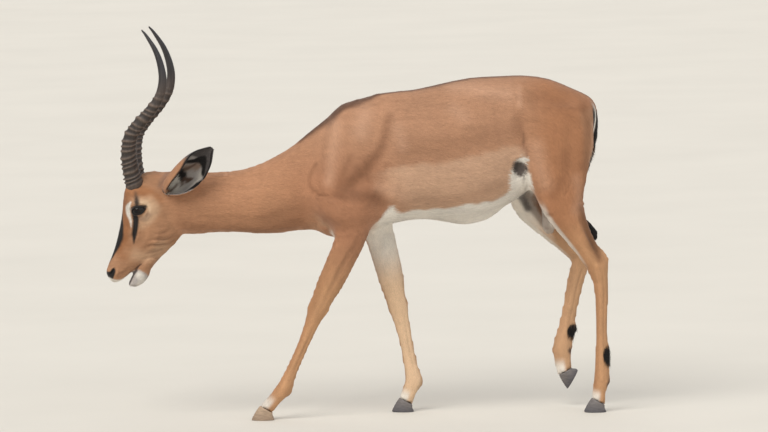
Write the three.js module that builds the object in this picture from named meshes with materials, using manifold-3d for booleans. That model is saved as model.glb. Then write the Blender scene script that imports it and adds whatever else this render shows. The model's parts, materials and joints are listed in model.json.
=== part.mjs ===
// A life-size impala ram, walking with its head low. Units are millimetres and +Z is up.
// The ram faces -X, its left side is -Y and its hooves stand on Z = 0.
// Flesh is a field: runs of cross-sections (forms) that melt into each other. Shells are then
// drawn on that field round each form's own line, and thin cuts part the body into named pieces.
import * as THREE from "three";
import { mergeVertices } from "three/addons/utils/BufferGeometryUtils.js";
import Module from "manifold-3d";

const wasm = await Module();
wasm.setup();

// ---------------------------------------------------------------- driving sizes
const GAP = 0.3; // clearance of every thin cut
const HEAD_TURN = THREE.MathUtils.degToRad(8); // the head looks a little to the ram's right
const TURN_FROM = -240; // the neck starts to turn here
const TURN_TO = -545; // from here on the head is turned by all of HEAD_TURN
const TORSO_CELL = 28; // grid of the torso's surface
const RELAX = 3; // how often its points are evened out
const CORONET = THREE.MathUtils.degToRad(30); // how much the top of a hoof drops to the heel
const SIDES = { left: -1, right: 1 };

const COAT = {
  hide: ["#a9744f", 0.75],
  horn: ["#3a322d", 0.5],
  eye: ["#120c09", 0.12],
  hoof: ["#3b3734", 0.45],
  tuft: ["#15110f", 0.85],
};

// ---------------------------------------------------------------- small maths
const lerp = THREE.MathUtils.lerp;
const clamp = THREE.MathUtils.clamp;
const smoothstep = (x, lo, hi) => {
  const t = clamp((x - lo) / (hi - lo), 0, 1);
  return t * t * (3 - 2 * t);
};

// A smooth curve through a list of numbers, read at t from 0 to the last index.
function spline(values, t) {
  const last = values.length - 1;
  const i = clamp(Math.floor(t), 0, last - 1);
  const f = t - i;
  const [a, b, c, d] = [i - 1, i, i + 1, i + 2].map((k) => values[clamp(k, 0, last)]);
  const [m, n] = [(c - a) / 2, (d - b) / 2];
  return b + f * m + f * f * (3 * (c - b) - 2 * m - n) + f ** 3 * (2 * (b - c) + m + n);
}

// The smooth minimum of two distances: surfaces nearer than k melt together.
function melt(a, b, k) {
  const h = Math.max(k - Math.abs(a - b), 0) / k;
  return Math.min(a, b) - h * h * k * 0.25;
}

// ---------------------------------------------------------------- forms
// A run of cross-sections. Each lies in a plane that holds the side-to-side direction, and reaches
// from the point `from` to the point `to`, which are (x, z) on the side outline. `y` is its middle,
// `half` its half width, `mid` how far along from-to it is widest, `roof` and `keel` how square it
// is on the `from` and the `to` side (2 is an ellipse).
const PER_SECTION = 4;

class Form {
  constructor(sections) {
    this.rings = [];
    const full = sections.map((s) => ({ y: 0, mid: 0.5, roof: 2, keel: 2, ...s }));
    const read = (pick, t) => spline(full.map(pick), t);
    const steps = (full.length - 1) * PER_SECTION;
    for (let i = 0; i <= steps; i++) {
      const t = i / PER_SECTION;
      const from = new THREE.Vector2(read((s) => s.from[0], t), read((s) => s.from[1], t));
      const to = new THREE.Vector2(read((s) => s.to[0], t), read((s) => s.to[1], t));
      const down = to.clone().sub(from);
      const length = down.length();
      down.divideScalar(length);
      const mid = read((s) => s.mid, t);
      this.rings.push({
        centre: from.clone().addScaledVector(down, length * mid),
        down,
        along: new THREE.Vector2(down.y, -down.x),
        up: length * mid,
        deep: length * (1 - mid),
        y: read((s) => s.y, t),
        half: Math.max(read((s) => s.half, t), 1),
        roof: read((s) => s.roof, t),
        keel: read((s) => s.keel, t),
      });
    }
    const [first, last] = [this.rings[0], this.rings.at(-1)];
    if (last.centre.clone().sub(first.centre).dot(first.along) < 0)
      for (const r of this.rings) r.along.negate();
  }

  // The cross-section at t, from 0 at the first section to 1 at the last.
  ring(t) {
    const at = clamp(t, 0, 1) * (this.rings.length - 1);
    const i = Math.min(Math.floor(at), this.rings.length - 2);
    return mix(this.rings[i], this.rings[i + 1], at - i);
  }

  // Signed distance from the surface, below zero inside; close to true near the surface.
  distance(x, y, z) {
    let best = Infinity;
    const side = (r) => (x - r.centre.x) * r.along.x + (z - r.centre.y) * r.along.y;
    const [first, last] = [this.rings[0], this.rings.at(-1)];
    let before = side(first);
    if (before < 0) best = capped(flat(first, x, y, z), -before);
    for (let i = 1; i < this.rings.length; i++) {
      const after = side(this.rings[i]);
      if (before >= 0 && after < 0)
        best = Math.min(best, flat(mix(this.rings[i - 1], this.rings[i], before / (before - after)), x, y, z));
      before = after;
    }
    if (side(last) >= 0) best = Math.min(best, capped(flat(last, x, y, z), side(last)));
    return best;
  }
}

const capped = (ring, beyond) => (ring < 0 ? beyond : Math.hypot(ring, beyond));

function mix(a, b, f) {
  const r = { centre: a.centre.clone().lerp(b.centre, f) };
  r.down = a.down.clone().lerp(b.down, f).normalize();
  r.along = a.along.clone().lerp(b.along, f).normalize();
  for (const key of ["up", "deep", "y", "half", "roof", "keel"]) r[key] = lerp(a[key], b[key], f);
  return r;
}

// Distance from a cross-section's outline, within its own plane.
function flat(r, x, y, z) {
  const u = (x - r.centre.x) * r.down.x + (z - r.centre.y) * r.down.y;
  const e = u < 0 ? r.roof : r.keel;
  const tall = u < 0 ? r.up : r.deep;
  const a = Math.max(Math.abs(u) / tall, 1e-6);
  const b = Math.max(Math.abs(y - r.y) / r.half, 1e-6);
  const radius = (a ** e + b ** e) ** (1 / e);
  const slope = Math.hypot((a / radius) ** (e - 1) / tall, (b / radius) ** (e - 1) / r.half);
  return (radius - 1) / slope;
}

// A limb's form from its joints, [x, y, z] each, and its thickness along the bones between them.
// A row reads: bone number, how far along it, reach to the front, to the back, half width. The last
// row lies flat on the hoof, which dips its toe by `dip`.
function limb(joints, rows, dip = 0) {
  const centres = rows.map(([bone, at]) =>
    joints[bone].map((v, k) => lerp(v, joints[Math.min(bone + 1, joints.length - 1)][k], at)),
  );
  return new Form(
    rows.map(([, , front, back, half], i) => {
      const [a, b] = [centres[Math.max(i - 1, 0)], centres[Math.min(i + 1, rows.length - 1)]];
      const ahead = new THREE.Vector2(b[2] - a[2], a[0] - b[0]).normalize();
      if (i === rows.length - 1) ahead.set(-Math.cos(dip - CORONET), -Math.sin(dip - CORONET));
      const [x, y, z] = centres[i];
      return {
        from: [x + ahead.x * front, z + ahead.y * front],
        to: [x - ahead.x * back, z - ahead.y * back],
        mid: front / (front + back),
        y,
        half,
      };
    }),
  );
}

// A rounded lump with radii [x, y, z], used where muscle or bone stands out.
const lump = ([cx, cy, cz], [rx, ry, rz]) => ({
  distance(x, y, z) {
    const [a, b, c] = [(x - cx) / rx, (y - cy) / ry, (z - cz) / rz];
    const k = Math.hypot(a, b, c) || 1e-6;
    return ((k - 1) * k) / (Math.hypot(a / rx, b / ry, c / rz) || 1e-6);
  },
});

// ---------------------------------------------------------------- anatomy
const trunk = new Form([
  { from: [-186, 690], to: [-190, 540], half: 50 },
  { from: [-164, 770], to: [-176, 510], half: 72, mid: 0.58 },
  { from: [-128, 838], to: [-148, 495], half: 86, mid: 0.6, roof: 1.8 },
  { from: [-78, 871], to: [-92, 495], half: 98, mid: 0.6, roof: 1.75 },
  { from: [2, 892], to: [0, 521], half: 112, mid: 0.6, roof: 1.8 },
  { from: [84, 898], to: [82, 536], half: 122, mid: 0.58, roof: 1.9, keel: 2.1 },
  { from: [165, 913], to: [158, 533], half: 127, mid: 0.56, keel: 2.1 },
  { from: [247, 927], to: [236, 531], half: 125, mid: 0.54, keel: 2.1 },
  { from: [328, 930], to: [312, 556], half: 116, mid: 0.5 },
  { from: [396, 930], to: [374, 590], half: 106, mid: 0.46 },
  { from: [463, 918], to: [436, 636], half: 96, mid: 0.45 },
  { from: [528, 890], to: [498, 684], half: 80, mid: 0.42 },
  { from: [576, 866], to: [556, 745], half: 54, mid: 0.45 },
  { from: [593, 842], to: [586, 776], half: 30 },
]);

const neck = new Form([
  { from: [-612, 687], to: [-550, 510], half: 51, mid: 0.45 },
  { from: [-560, 688], to: [-512, 509], half: 55 },
  { from: [-488, 684], to: [-462, 514], half: 57 },
  { from: [-416, 686], to: [-404, 512], half: 59 },
  { from: [-350, 701], to: [-342, 507], half: 61 },
  { from: [-291, 728], to: [-284, 507], half: 64 },
  { from: [-238, 760], to: [-228, 513], half: 69 },
  { from: [-184, 802], to: [-180, 522], half: 76 },
  { from: [-122, 842], to: [-124, 540], half: 80 },
  { from: [-50, 850], to: [-60, 560], half: 80 },
]);

const shoulder = (side) =>
  new Form([
    { from: [-104, 850], to: [-28, 852], y: side * 34, half: 16 },
    { from: [-142, 790], to: [-34, 782], y: side * 58, half: 28 },
    { from: [-176, 706], to: [-36, 690], y: side * 72, half: 38 },
    { from: [-196, 622], to: [-30, 606], y: side * 78, half: 42 },
    { from: [-178, 560], to: [-20, 552], y: side * 78, half: 40 },
  ]);

const FORELEG = [
  // upper arm to elbow, forearm, knee, cannon, fetlock, pastern, coronet
  [0, 0, 60, 70, 40],
  [0, 0.55, 58, 58, 38],
  [1, 0.02, 44, 44, 34],
  [1, 0.28, 39, 40, 30],
  [1, 0.6, 37, 37, 25],
  [1, 0.85, 32, 28, 21],
  [1, 1, 29, 27, 21],
  [2, 0.16, 22, 22, 16],
  [2, 0.45, 16, 18, 13],
  [2, 0.75, 17, 18, 13],
  [2, 0.9, 20, 21, 16],
  [3, 0, 23, 23, 18],
  [3, 0.5, 21, 20, 15],
  [4, 0, 22, 20, 18],
];

const HINDLEG = [
  // haunch, thigh, gaskin, hock, cannon, fetlock, pastern, coronet
  [0, 0, 84, 96, 46],
  [0, 0.45, 98, 117, 54],
  [1, 0, 86, 97, 50],
  [1, 0.55, 72, 73, 45],
  [2, 0, 58, 58, 39],
  [2, 0.38, 46, 37, 31],
  [2, 0.72, 36, 29, 24],
  [3, 0, 34, 38, 21],
  [3, 0.45, 25, 27, 18],
  [4, 0, 21, 20, 15],
  [4, 0.4, 17, 17, 13],
  [4, 0.75, 19, 18, 14],
  [5, 0, 24, 23, 18],
  [5, 0.55, 22, 20, 15],
  [6, 0, 23, 22, 18],
];

// Joints in order: shoulder, elbow, knee, fetlock, coronet; and hip, haunch, gaskin, hock, top of the
// cannon, fetlock, coronet. The left forefoot is ahead and the right hind foot is just lifted.
const LEGS = {
  foreleg_left: [[-96, -78, 610], [-93, -75, 506], [-192, -62, 297], [-289, -56, 84], [-336, -55, 31]],
  foreleg_right: [[-74, 78, 610], [-14, 75, 504], [40, 62, 286], [76, 56, 84], [53, 55, 31]],
  hindleg_left: [
    [462, -52, 836], [470, -66, 668], [492, -74, 562], [577, -72, 411], [590, -72, 338], [586, -75, 88],
    [575, -75, 31],
  ],
  hindleg_right: [
    [458, 52, 830], [432, 68, 668], [414, 74, 568], [549, 72, 418], [530, 72, 345], [490, 74, 166],
    [496, 74, 99],
  ],
};
const TOE_DIP = { hindleg_right: THREE.MathUtils.degToRad(56) };
// How much deeper than the left one a leg is, to the front and to the back, below its knee or hock.
const DEEPER = { foreleg_right: 3, hindleg_right: 5 };

// Deepens a leg's rows from one bone down, all but the last.
const deepened = (rows, from, more) =>
  rows.map(([bone, at, front, back, half], i) => {
    const extra = bone >= from && i < rows.length - 1 ? more : 0;
    return [bone, at, front + extra, back + extra, half];
  });

const forms = Object.fromEntries(
  Object.entries(LEGS).map(([name, joints]) => {
    const [rows, cannon] = name.startsWith("fore") ? [FORELEG, 2] : [HINDLEG, 4];
    return [name, limb(joints, deepened(rows, cannon, DEEPER[name] ?? 0), TOE_DIP[name])];
  }),
);

const tail = new Form([
  { from: [572, 862], to: [556, 838], half: 12 },
  { from: [588, 848], to: [572, 828], half: 15 },
  { from: [598, 810], to: [577, 804], half: 16 },
  { from: [595, 765], to: [575, 762], half: 16 },
  { from: [586, 715], to: [567, 711], half: 16 },
  { from: [568, 664], to: [549, 660], half: 15 },
  { from: [549, 612], to: [530, 610], half: 14 },
  { from: [546, 562], to: [527, 560], half: 14 },
  { from: [550, 534], to: [526, 524], half: 14 },
  { from: [587, 506], to: [548, 493], half: 14 },
  { from: [592, 474], to: [570, 468], half: 8 },
]);

const SCROTUM = [454, 0, 560, 22, 76]; // middle, half width, half height
const sheath = lump([232, 0, 545], [92, 26, 26]);

// ---------------------------------------------------------------- head
const skull = new Form([
  { from: [-612, 687], to: [-550, 510], half: 50, mid: 0.45 },
  { from: [-650, 686], to: [-556, 508], half: 51, mid: 0.42 },
  { from: [-686, 664], to: [-563, 499], half: 54, mid: 0.38 },
  { from: [-708, 640], to: [-574, 487], half: 56, mid: 0.34, keel: 1.8 },
  { from: [-716, 612], to: [-588, 473], half: 55, mid: 0.34, keel: 1.7 },
  { from: [-719, 582], to: [-604, 458], half: 50, mid: 0.36, keel: 1.7 },
  { from: [-724, 551], to: [-622, 443], half: 42, mid: 0.4, keel: 1.8 },
  { from: [-732, 517], to: [-642, 430], half: 35, mid: 0.42 },
  { from: [-741, 483], to: [-669, 424], half: 31, mid: 0.45, roof: 2.3 },
  { from: [-751, 455], to: [-695, 411], half: 29, mid: 0.48, roof: 2.4 },
  { from: [-760, 435], to: [-715, 396], half: 29, mid: 0.5, roof: 2.4 },
  { from: [-766, 417], to: [-730, 385], half: 27, mid: 0.5, roof: 2.2 },
  { from: [-766, 402], to: [-743, 381], half: 20 },
  { from: [-759, 392], to: [-752, 384], half: 8 },
]);
const orbit = (side) => lump([-664, side * 42, 591], [34, 19, 27]);
const pedicle = (side) => lump([-678, side * 30, 634], [32, 26, 27]);
const cheek = (side) => lump([-634, side * 36, 530], [42, 16, 50]);
const nostril = (side) => lump([-752, side * 17, 412], [14, 13, 12]);

const jaw = new Form([
  { from: [-668, 448], to: [-618, 446], half: 27 },
  { from: [-682, 426], to: [-642, 420], half: 24 },
  { from: [-691, 411], to: [-648, 402], half: 21 },
  { from: [-700, 394], to: [-657, 387], half: 19 },
  { from: [-707, 380], to: [-673, 373], half: 16 },
  { from: [-706, 371], to: [-688, 368], half: 9 },
]);

const EYE = { at: [-668, 48, 585], radius: 19.5 };

// ---------------------------------------------------------------- fields
const both = (make) => Object.values(SIDES).map(make);
const [shoulders, orbits, pedicles] = [shoulder, orbit, pedicle].map(both);
const [cheeks, nostrils] = [cheek, nostril].map(both);
const limbs = Object.values(forms);

function body(x, y, z) {
  let d = melt(trunk.distance(x, y, z), neck.distance(x, y, z), 40);
  for (const s of shoulders) d = melt(d, s.distance(x, y, z), 34);
  for (const l of limbs) d = melt(d, l.distance(x, y, z), 34);
  return melt(d, sheath.distance(x, y, z), 18);
}

const nape = (x, y, z) => Math.min(body(x, y, z), skull.distance(x, y, z));

function headField(x, y, z) {
  let d = Math.min(neck.distance(x, y, z), skull.distance(x, y, z));
  for (const o of orbits) d = melt(d, o.distance(x, y, z), 14);
  for (const p of pedicles) d = melt(d, p.distance(x, y, z), 12);
  for (const c of cheeks) d = melt(d, c.distance(x, y, z), 16);
  for (const n of nostrils) d = melt(d, n.distance(x, y, z), 8);
  return d;
}

// ---------------------------------------------------------------- surfaces
// A closed body from rings of points, each with the same count, shut by a fan at both ends.
function loft(rings) {
  const n = rings[0].length;
  const points = rings.flat();
  const faces = [];
  for (let r = 0; r < rings.length - 1; r++)
    for (let i = 0; i < n; i++) {
      const [a, b] = [r * n + i, r * n + ((i + 1) % n)];
      faces.push(a, b, b + n, a, b + n, a + n);
    }
  for (const [ring, outward] of [[0, false], [rings.length - 1, true]]) {
    const hub = points.length;
    points.push(rings[ring].reduce((s, p) => s.add(p), new THREE.Vector3()).divideScalar(n));
    for (let i = 0; i < n; i++) {
      const [a, b] = [ring * n + i, ring * n + ((i + 1) % n)];
      faces.push(...(outward ? [a, b, hub] : [b, a, hub]));
    }
  }
  return solid(points, faces);
}

function solid(points, faces) {
  const vertProperties = new Float32Array(points.flatMap((p) => [p.x, p.y, p.z]));
  const made = (tri) =>
    new wasm.Manifold(new wasm.Mesh({ numProp: 3, vertProperties, triVerts: new Uint32Array(tri) }));
  const first = made(faces);
  if (first.volume() > 0) return first;
  return made(faces.map((_, i) => faces[i - (i % 3) + (2 - (i % 3))]));
}

// A shell on a field, drawn round a form from ring t0 to ring t1.
function shell(form, t0, t1, { rings, sides, field = null, grow = 0, inset = 0 }) {
  const made = [];
  for (let i = 0; i <= rings; i++) {
    const r = form.ring(lerp(t0, t1, i / rings));
    if (i === 0) r.centre.addScaledVector(r.along, inset);
    const points = [];
    for (let k = 0; k < sides; k++) {
      const turn = (k / sides) * 2 * Math.PI;
      const [u, v] = [Math.cos(turn), Math.sin(turn)];
      const [tall, e] = u > 0 ? [r.up, r.roof] : [r.deep, r.keel];
      const own = ((Math.abs(u) / tall) ** e + (Math.abs(v) / r.half) ** e) ** (-1 / e);
      const at = (d) => [r.centre.x - r.down.x * u * d, r.y + v * d, r.centre.y - r.down.y * u * d];
      points.push(new THREE.Vector3(...at((field ? reach(field, at, own) : own) + grow)));
    }
    made.push(points);
  }
  return loft(made);
}

// How far along a ray the field's surface is, looked for near the form's own surface.
function reach(field, at, own) {
  let [lo, hi] = [own * 0.6, own * 1.5 + 12];
  if (field(...at(lo)) > 0 || field(...at(hi)) < 0) return own;
  for (let i = 0; i < 14; i++) {
    const middle = (lo + hi) / 2;
    if (field(...at(middle)) < 0) lo = middle;
    else hi = middle;
  }
  return (lo + hi) / 2;
}

// The surface of a field within a box, one vertex to each grid cell that it crosses, moved onto it
// and then outwards by `grow`.
function net(field, low, high, cell, grow = 0) {
  const size = low.map((v, k) => Math.ceil((high[k] - v) / cell) + 1);
  const [nx, ny, nz] = size;
  const at = (i, j, k) => (k * ny + j) * nx + i;
  const place = (v, k) => low[k] + v * cell;
  const value = new Float32Array(nx * ny * nz).fill(1);
  for (let k = 1; k < nz - 1; k++)
    for (let j = 1; j < ny - 1; j++)
      for (let i = 1; i < nx - 1; i++)
        value[at(i, j, k)] = field(place(i, 0), place(j, 1), place(k, 2));
  const steps = [1, nx, nx * ny];
  settleSquares(value, steps);
  const corners = [0, 1, 2, 3, 4, 5, 6, 7].map((c) => [c & 1, (c >> 1) & 1, c >> 2]);
  const vertex = new Map();
  const points = [];
  for (let k = 0; k < nz - 1; k++)
    for (let j = 0; j < ny - 1; j++)
      for (let i = 0; i < nx - 1; i++) {
        const here = corners.map(([a, b, c]) => value[at(i + a, j + b, k + c)]);
        const inside = here.filter((v) => v < 0).length;
        if (!inside || inside === 8) continue;
        const weight = here.map((v) => 1 / (Math.abs(v) + 1));
        const total = weight.reduce((s, w) => s + w, 0);
        const p = [0, 1, 2].map((n) => {
          const shift = corners.reduce((s, c, m) => s + c[n] * weight[m], 0) / total;
          return place([i, j, k][n] + shift, n);
        });
        vertex.set(at(i, j, k), points.length);
        points.push(settle(field, new THREE.Vector3(...p), cell));
      }
  const faces = [];
  for (let k = 0; k < nz - 1; k++)
    for (let j = 0; j < ny - 1; j++)
      for (let i = 0; i < nx - 1; i++)
        steps.forEach((step, n) => {
          const here = at(i, j, k);
          if (value[here] < 0 === value[here + step] < 0) return;
          const [s, t] = [steps[(n + 1) % 3], steps[(n + 2) % 3]];
          const quad = [here, here - s, here - s - t, here - t].map((c) => vertex.get(c));
          if (value[here] >= 0) quad.reverse();
          faces.push(quad[0], quad[1], quad[2], quad[0], quad[2], quad[3]);
        });
  for (let n = 0; n < RELAX; n++) relax(points, faces, (p) => settle(field, p, cell));
  if (grow) points.forEach((p) => p.addScaledVector(slopeAt(field, p).normalize(), grow));
  return solid(points, faces);
}

// Evens out the spacing of a net's points: each goes to the middle of its neighbours, then `back`.
function relax(points, faces, back) {
  const sums = points.map(() => ({ total: new THREE.Vector3(), count: 0 }));
  faces.forEach((v, i) => {
    const next = faces[i % 3 === 2 ? i - 2 : i + 1];
    sums[v].total.add(points[next]);
    sums[v].count++;
  });
  sums.forEach(({ total, count }, i) => {
    if (count) points[i] = back(total.divideScalar(count).lerp(points[i], 0.3));
  });
}

function slopeAt(field, { x, y, z }) {
  const [step, d] = [0.5, field(x, y, z)];
  const rise = (dx, dy, dz) => (field(x + dx * step, y + dy * step, z + dz * step) - d) / step;
  return new THREE.Vector3(rise(1, 0, 0), rise(0, 1, 0), rise(0, 0, 1));
}

// Where the corners of a grid square alternate between inside and outside, the corner nearest the
// surface changes sides, so that no edge of the net joins four faces.
function settleSquares(value, steps) {
  const pairs = [[0, 1], [1, 2], [0, 2]].map((pair) => pair.map((n) => steps[n]));
  for (let changed = true; changed; ) {
    changed = false;
    for (let here = 0; here < value.length - steps[1] - steps[2]; here++)
      for (const [s, t] of pairs) {
        const square = [here, here + s, here + s + t, here + t];
        const [a, b, c, d] = square.map((n) => value[n] < 0);
        if (a !== c || b !== d || a === b) continue;
        const near = square.reduce((m, n) => (Math.abs(value[n]) < Math.abs(value[m]) ? n : m));
        value[near] = value[near] < 0 ? 1e-3 : -1e-3;
        changed = true;
      }
  }
}

// Walks a point along the field's slope onto its surface, by little more than half a cell.
function settle(field, start, cell) {
  const p = start.clone();
  for (let n = 0; n < 3; n++) {
    const slope = slopeAt(field, p);
    p.addScaledVector(slope, -field(p.x, p.y, p.z) / (slope.lengthSq() || 1));
  }
  const far = new THREE.Vector3(1, 1, 1).multiplyScalar(cell * 0.6);
  return p.clamp(start.clone().sub(far), start.clone().add(far));
}

const solidOf = (geometry) => {
  for (const name of ["normal", "uv"]) geometry.deleteAttribute(name);
  const g = mergeVertices(geometry, 1e-4);
  const made = new wasm.Mesh({
    numProp: 3,
    vertProperties: g.attributes.position.array,
    triVerts: new Uint32Array(g.index.array),
  });
  return new wasm.Manifold(made);
};

// A block that takes away all that lies past a form's ring t, out to `wide` from its middle.
function beyond(form, t, { wide, long, sign = 1, low = -1e3, high = 1e3 }) {
  const r = form.ring(t);
  const box = new THREE.BoxGeometry(wide * 2, high - low, long);
  const angle = Math.atan2(r.along.x * sign, r.along.y * sign);
  box.translate(0, (low + high) / 2, long / 2);
  box.rotateY(angle);
  box.translate(r.centre.x, 0, r.centre.y);
  return solidOf(box);
}

// ---------------------------------------------------------------- horns, ears, hooves
const HORN = {
  line: [
    [-676, 30, 634], [-684, 37, 672], [-690, 50, 712], [-690, 64, 752], [-681, 77, 790], [-655, 88, 826],
    [-622, 95, 862], [-597, 99, 900], [-588, 99, 940], [-592, 95, 980], [-606, 89, 1022], [-630, 83, 1062],
    [-646, 80, 1082],
  ],
  base: 24, // radius at the skull
  rings: 17,
  ringed: 0.68, // share of the length that carries rings
  sides: 10,
};

function horn(side, grow = 0) {
  const curve = new THREE.CatmullRomCurve3(
    HORN.line.map(([x, y, z]) => new THREE.Vector3(x, y * side, z)),
    false,
    "centripetal",
  );
  const stops = [];
  for (let i = 0; i <= HORN.rings * 2; i++) stops.push([(i / (HORN.rings * 2)) * HORN.ringed, i % 2]);
  for (let i = 1; i <= 6; i++) stops.push([lerp(HORN.ringed, 0.998, i / 6), 0.4]);
  const outward = new THREE.Vector3(0, side, 0);
  return loft(
    stops.map(([t, crest]) => {
      const along = curve.getTangentAt(t);
      const fore = new THREE.Vector3().crossVectors(along, outward).normalize().multiplyScalar(side);
      const flank = new THREE.Vector3().crossVectors(fore, along).normalize();
      const taper = HORN.base * (1 - t) ** 0.55 * (1 - 0.28 * t) + 0.8;
      const ridge = 1 + (crest ? 0.07 : -0.05) * smoothstep(HORN.ringed - t, -0.02, 0.25);
      const centre = curve.getPointAt(t);
      return ring(HORN.sides, (u, v) =>
        centre
          .clone()
          .addScaledVector(fore, u * (taper * ridge * 1.04 + grow))
          .addScaledVector(flank, v * (taper * ridge * 0.9 + grow))
          .addScaledVector(along, u * taper * -0.32),
      );
    }),
  );
}

const ring = (count, place) =>
  Array.from({ length: count }, (_, k) => {
    const turn = (k / count) * 2 * Math.PI;
    return place(Math.cos(turn), Math.sin(turn));
  });

// An ear is a rolled leaf: a tube at its root that opens, towards `opens`, on the way to its point.
// Its back runs from `root` to `tip`.
const EAR = {
  rows: 10,
  across: 8,
  thick: 4,
  radius: [13, 22, 30, 36, 38, 37, 29, 9],
  wrap: [150, 145, 128, 112, 98, 84, 68, 50], // half of the arc, in degrees
};

function ear(root, tip, opens) {
  const [a, b] = [new THREE.Vector3(...root), new THREE.Vector3(...tip)];
  const along = b.clone().sub(a);
  const length = along.length();
  along.normalize();
  const side = new THREE.Vector3().crossVectors(along, new THREE.Vector3(...opens)).normalize();
  const back = new THREE.Vector3().crossVectors(along, side).normalize();
  const last = EAR.radius.length - 1;
  const rows = [];
  for (let i = 0; i <= EAR.rows; i++) {
    const t = i / EAR.rows;
    const radius = spline(EAR.radius, t * last);
    const wrap = THREE.MathUtils.degToRad(spline(EAR.wrap, t * last));
    const thick = Math.min(EAR.thick, radius * 0.6);
    const centre = a.clone().addScaledVector(along, length * t).addScaledVector(back, -radius);
    const arc = (r, s) =>
      centre
        .clone()
        .addScaledVector(side, Math.sin(wrap * s) * r)
        .addScaledVector(back, Math.cos(wrap * s) * r);
    const row = [];
    for (let k = 0; k <= EAR.across; k++) row.push(arc(radius, lerp(-1, 1, k / EAR.across)));
    for (let k = EAR.across; k >= 0; k--)
      row.push(arc(radius - thick, lerp(-0.97, 0.97, k / EAR.across)));
    rows.push(row);
  }
  return loft(rows);
}

// One claw of a cloven hoof, hanging from the coronet at the origin with its toe towards -X.
const CLAW = { high: 30, back: 21, toe: 25, splay: 16, half: 10.5, rows: 2, sides: 10 };

function claw(side) {
  const rings = [];
  for (let i = 0; i <= CLAW.rows; i++) {
    const t = i / CLAW.rows;
    const [toe, heel] = [CLAW.toe + CLAW.splay * t, CLAW.back + 3 * t];
    const half = CLAW.half + 1.2 * t;
    rings.push(
      ring(CLAW.sides, (u, v) => {
        const x = u < 0 ? u * toe : u * heel;
        const slim = u < 0 ? 1 - 0.45 * u * u : 1;
        const top = -x * Math.tan(CORONET);
        return new THREE.Vector3(x, side * (half + GAP) + v * half * slim, lerp(top - GAP, -CLAW.high, t));
      }),
    );
  }
  return loft(rings);
}

// ---------------------------------------------------------------- the pieces
const animal = new THREE.Group();

// Turns what is ahead of the shoulders towards the ram's right, as the neck bends.
function turned(geometry) {
  const p = geometry.attributes.position;
  for (let i = 0; i < p.count; i++) {
    const [x, y] = [p.getX(i), p.getY(i)];
    if (x >= TURN_FROM) continue;
    const share = clamp((TURN_FROM - x) / (TURN_FROM - TURN_TO), 0, 1);
    const angle = HEAD_TURN * share * share * (3 - 2 * share);
    const bend = (TURN_FROM - TURN_TO) * HEAD_TURN * (share ** 3 - share ** 4 / 2);
    const rest = Math.max(TURN_TO - x, 0);
    const line = Math.max(x, TURN_TO);
    p.setX(i, line - rest * Math.cos(angle) + y * Math.sin(angle));
    p.setY(i, bend + rest * Math.sin(angle) + y * Math.cos(angle));
  }
  return geometry;
}

// What is left of a mesh once points closer than 0.002 mm have become one.
function welded(geometry) {
  const g = mergeVertices(geometry, 0.002);
  const faces = new Map();
  for (let i = 0; i < g.index.count; i += 3) {
    const face = [0, 1, 2].map((k) => g.index.getX(i + k));
    if (new Set(face).size < 3) continue;
    const key = face.toSorted((a, b) => a - b).join();
    if (!faces.delete(key)) faces.set(key, face);
  }
  return g.setIndex([...faces.values()].flat());
}

function add(name, made, coat = "hide", turn = false) {
  const mesh = made.getMesh();
  let geometry = new THREE.BufferGeometry();
  const stride = mesh.numProp;
  const position = new Float32Array(mesh.numVert * 3);
  for (let i = 0; i < mesh.numVert; i++)
    position.set(mesh.vertProperties.subarray(i * stride, i * stride + 3), i * 3);
  geometry.setAttribute("position", new THREE.BufferAttribute(position, 3));
  geometry.setIndex(new THREE.BufferAttribute(mesh.triVerts, 1));
  geometry = welded(geometry);
  if (turn) turned(geometry);
  geometry.computeVertexNormals();
  const [color, roughness] = COAT[coat];
  const piece = new THREE.Mesh(
    geometry,
    new THREE.MeshStandardMaterial({ color, roughness, metalness: 0 }),
  );
  piece.name = name;
  animal.add(piece);
  return piece;
}

// Where each limb is cut, as shares of its form's length.
const CUTS = {
  foreleg: { names: ["forearm", "cannon", "pastern"], at: [0.235, 0.46, 0.845, 1], rings: [6, 8, 4] },
  hindleg: { names: ["gaskin", "cannon", "pastern"], at: [0.27, 0.5, 0.86, 1], rings: [6, 9, 4] },
};
const INNER = 20; // legs are cut no nearer than this to the middle
const NECK_CUT = 0.665;

function buildTorso() {
  const box = [[-300, -170, 380], [640, 170, 960]];
  const torso = net(body, ...box, TORSO_CELL);
  const clear = net(body, ...box, TORSO_CELL, GAP * 1.5);
  let cut = torso.subtract(beyond(neck, NECK_CUT, { wide: 300, long: 400, sign: -1 }));
  for (const [name, form] of Object.entries(forms)) {
    const { at } = CUTS[name.split("_")[0]];
    const right = name.endsWith("right");
    const [low, high] = right ? [INNER, 200] : [-200, -INNER];
    cut = cut.subtract(beyond(form, at[0], { wide: 110, long: 300, low, high }));
  }
  add("torso", largest(cut));
  const dock = shell(tail, 0, 1, { rings: 14, sides: 8 });
  add("tail", largest(dock.subtract(clear).subtract(cut)));
  const [x, y, z, wide, tall] = SCROTUM;
  const pouch = solidOf(new THREE.SphereGeometry(wide, 10, 8).scale(1, 0.8, tall / wide).translate(x, y, z));
  add("scrotum", largest(pouch.subtract(clear).subtract(cut)));
}

const largest = (made) => made.decompose().sort((a, b) => b.volume() - a.volume())[0];

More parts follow.
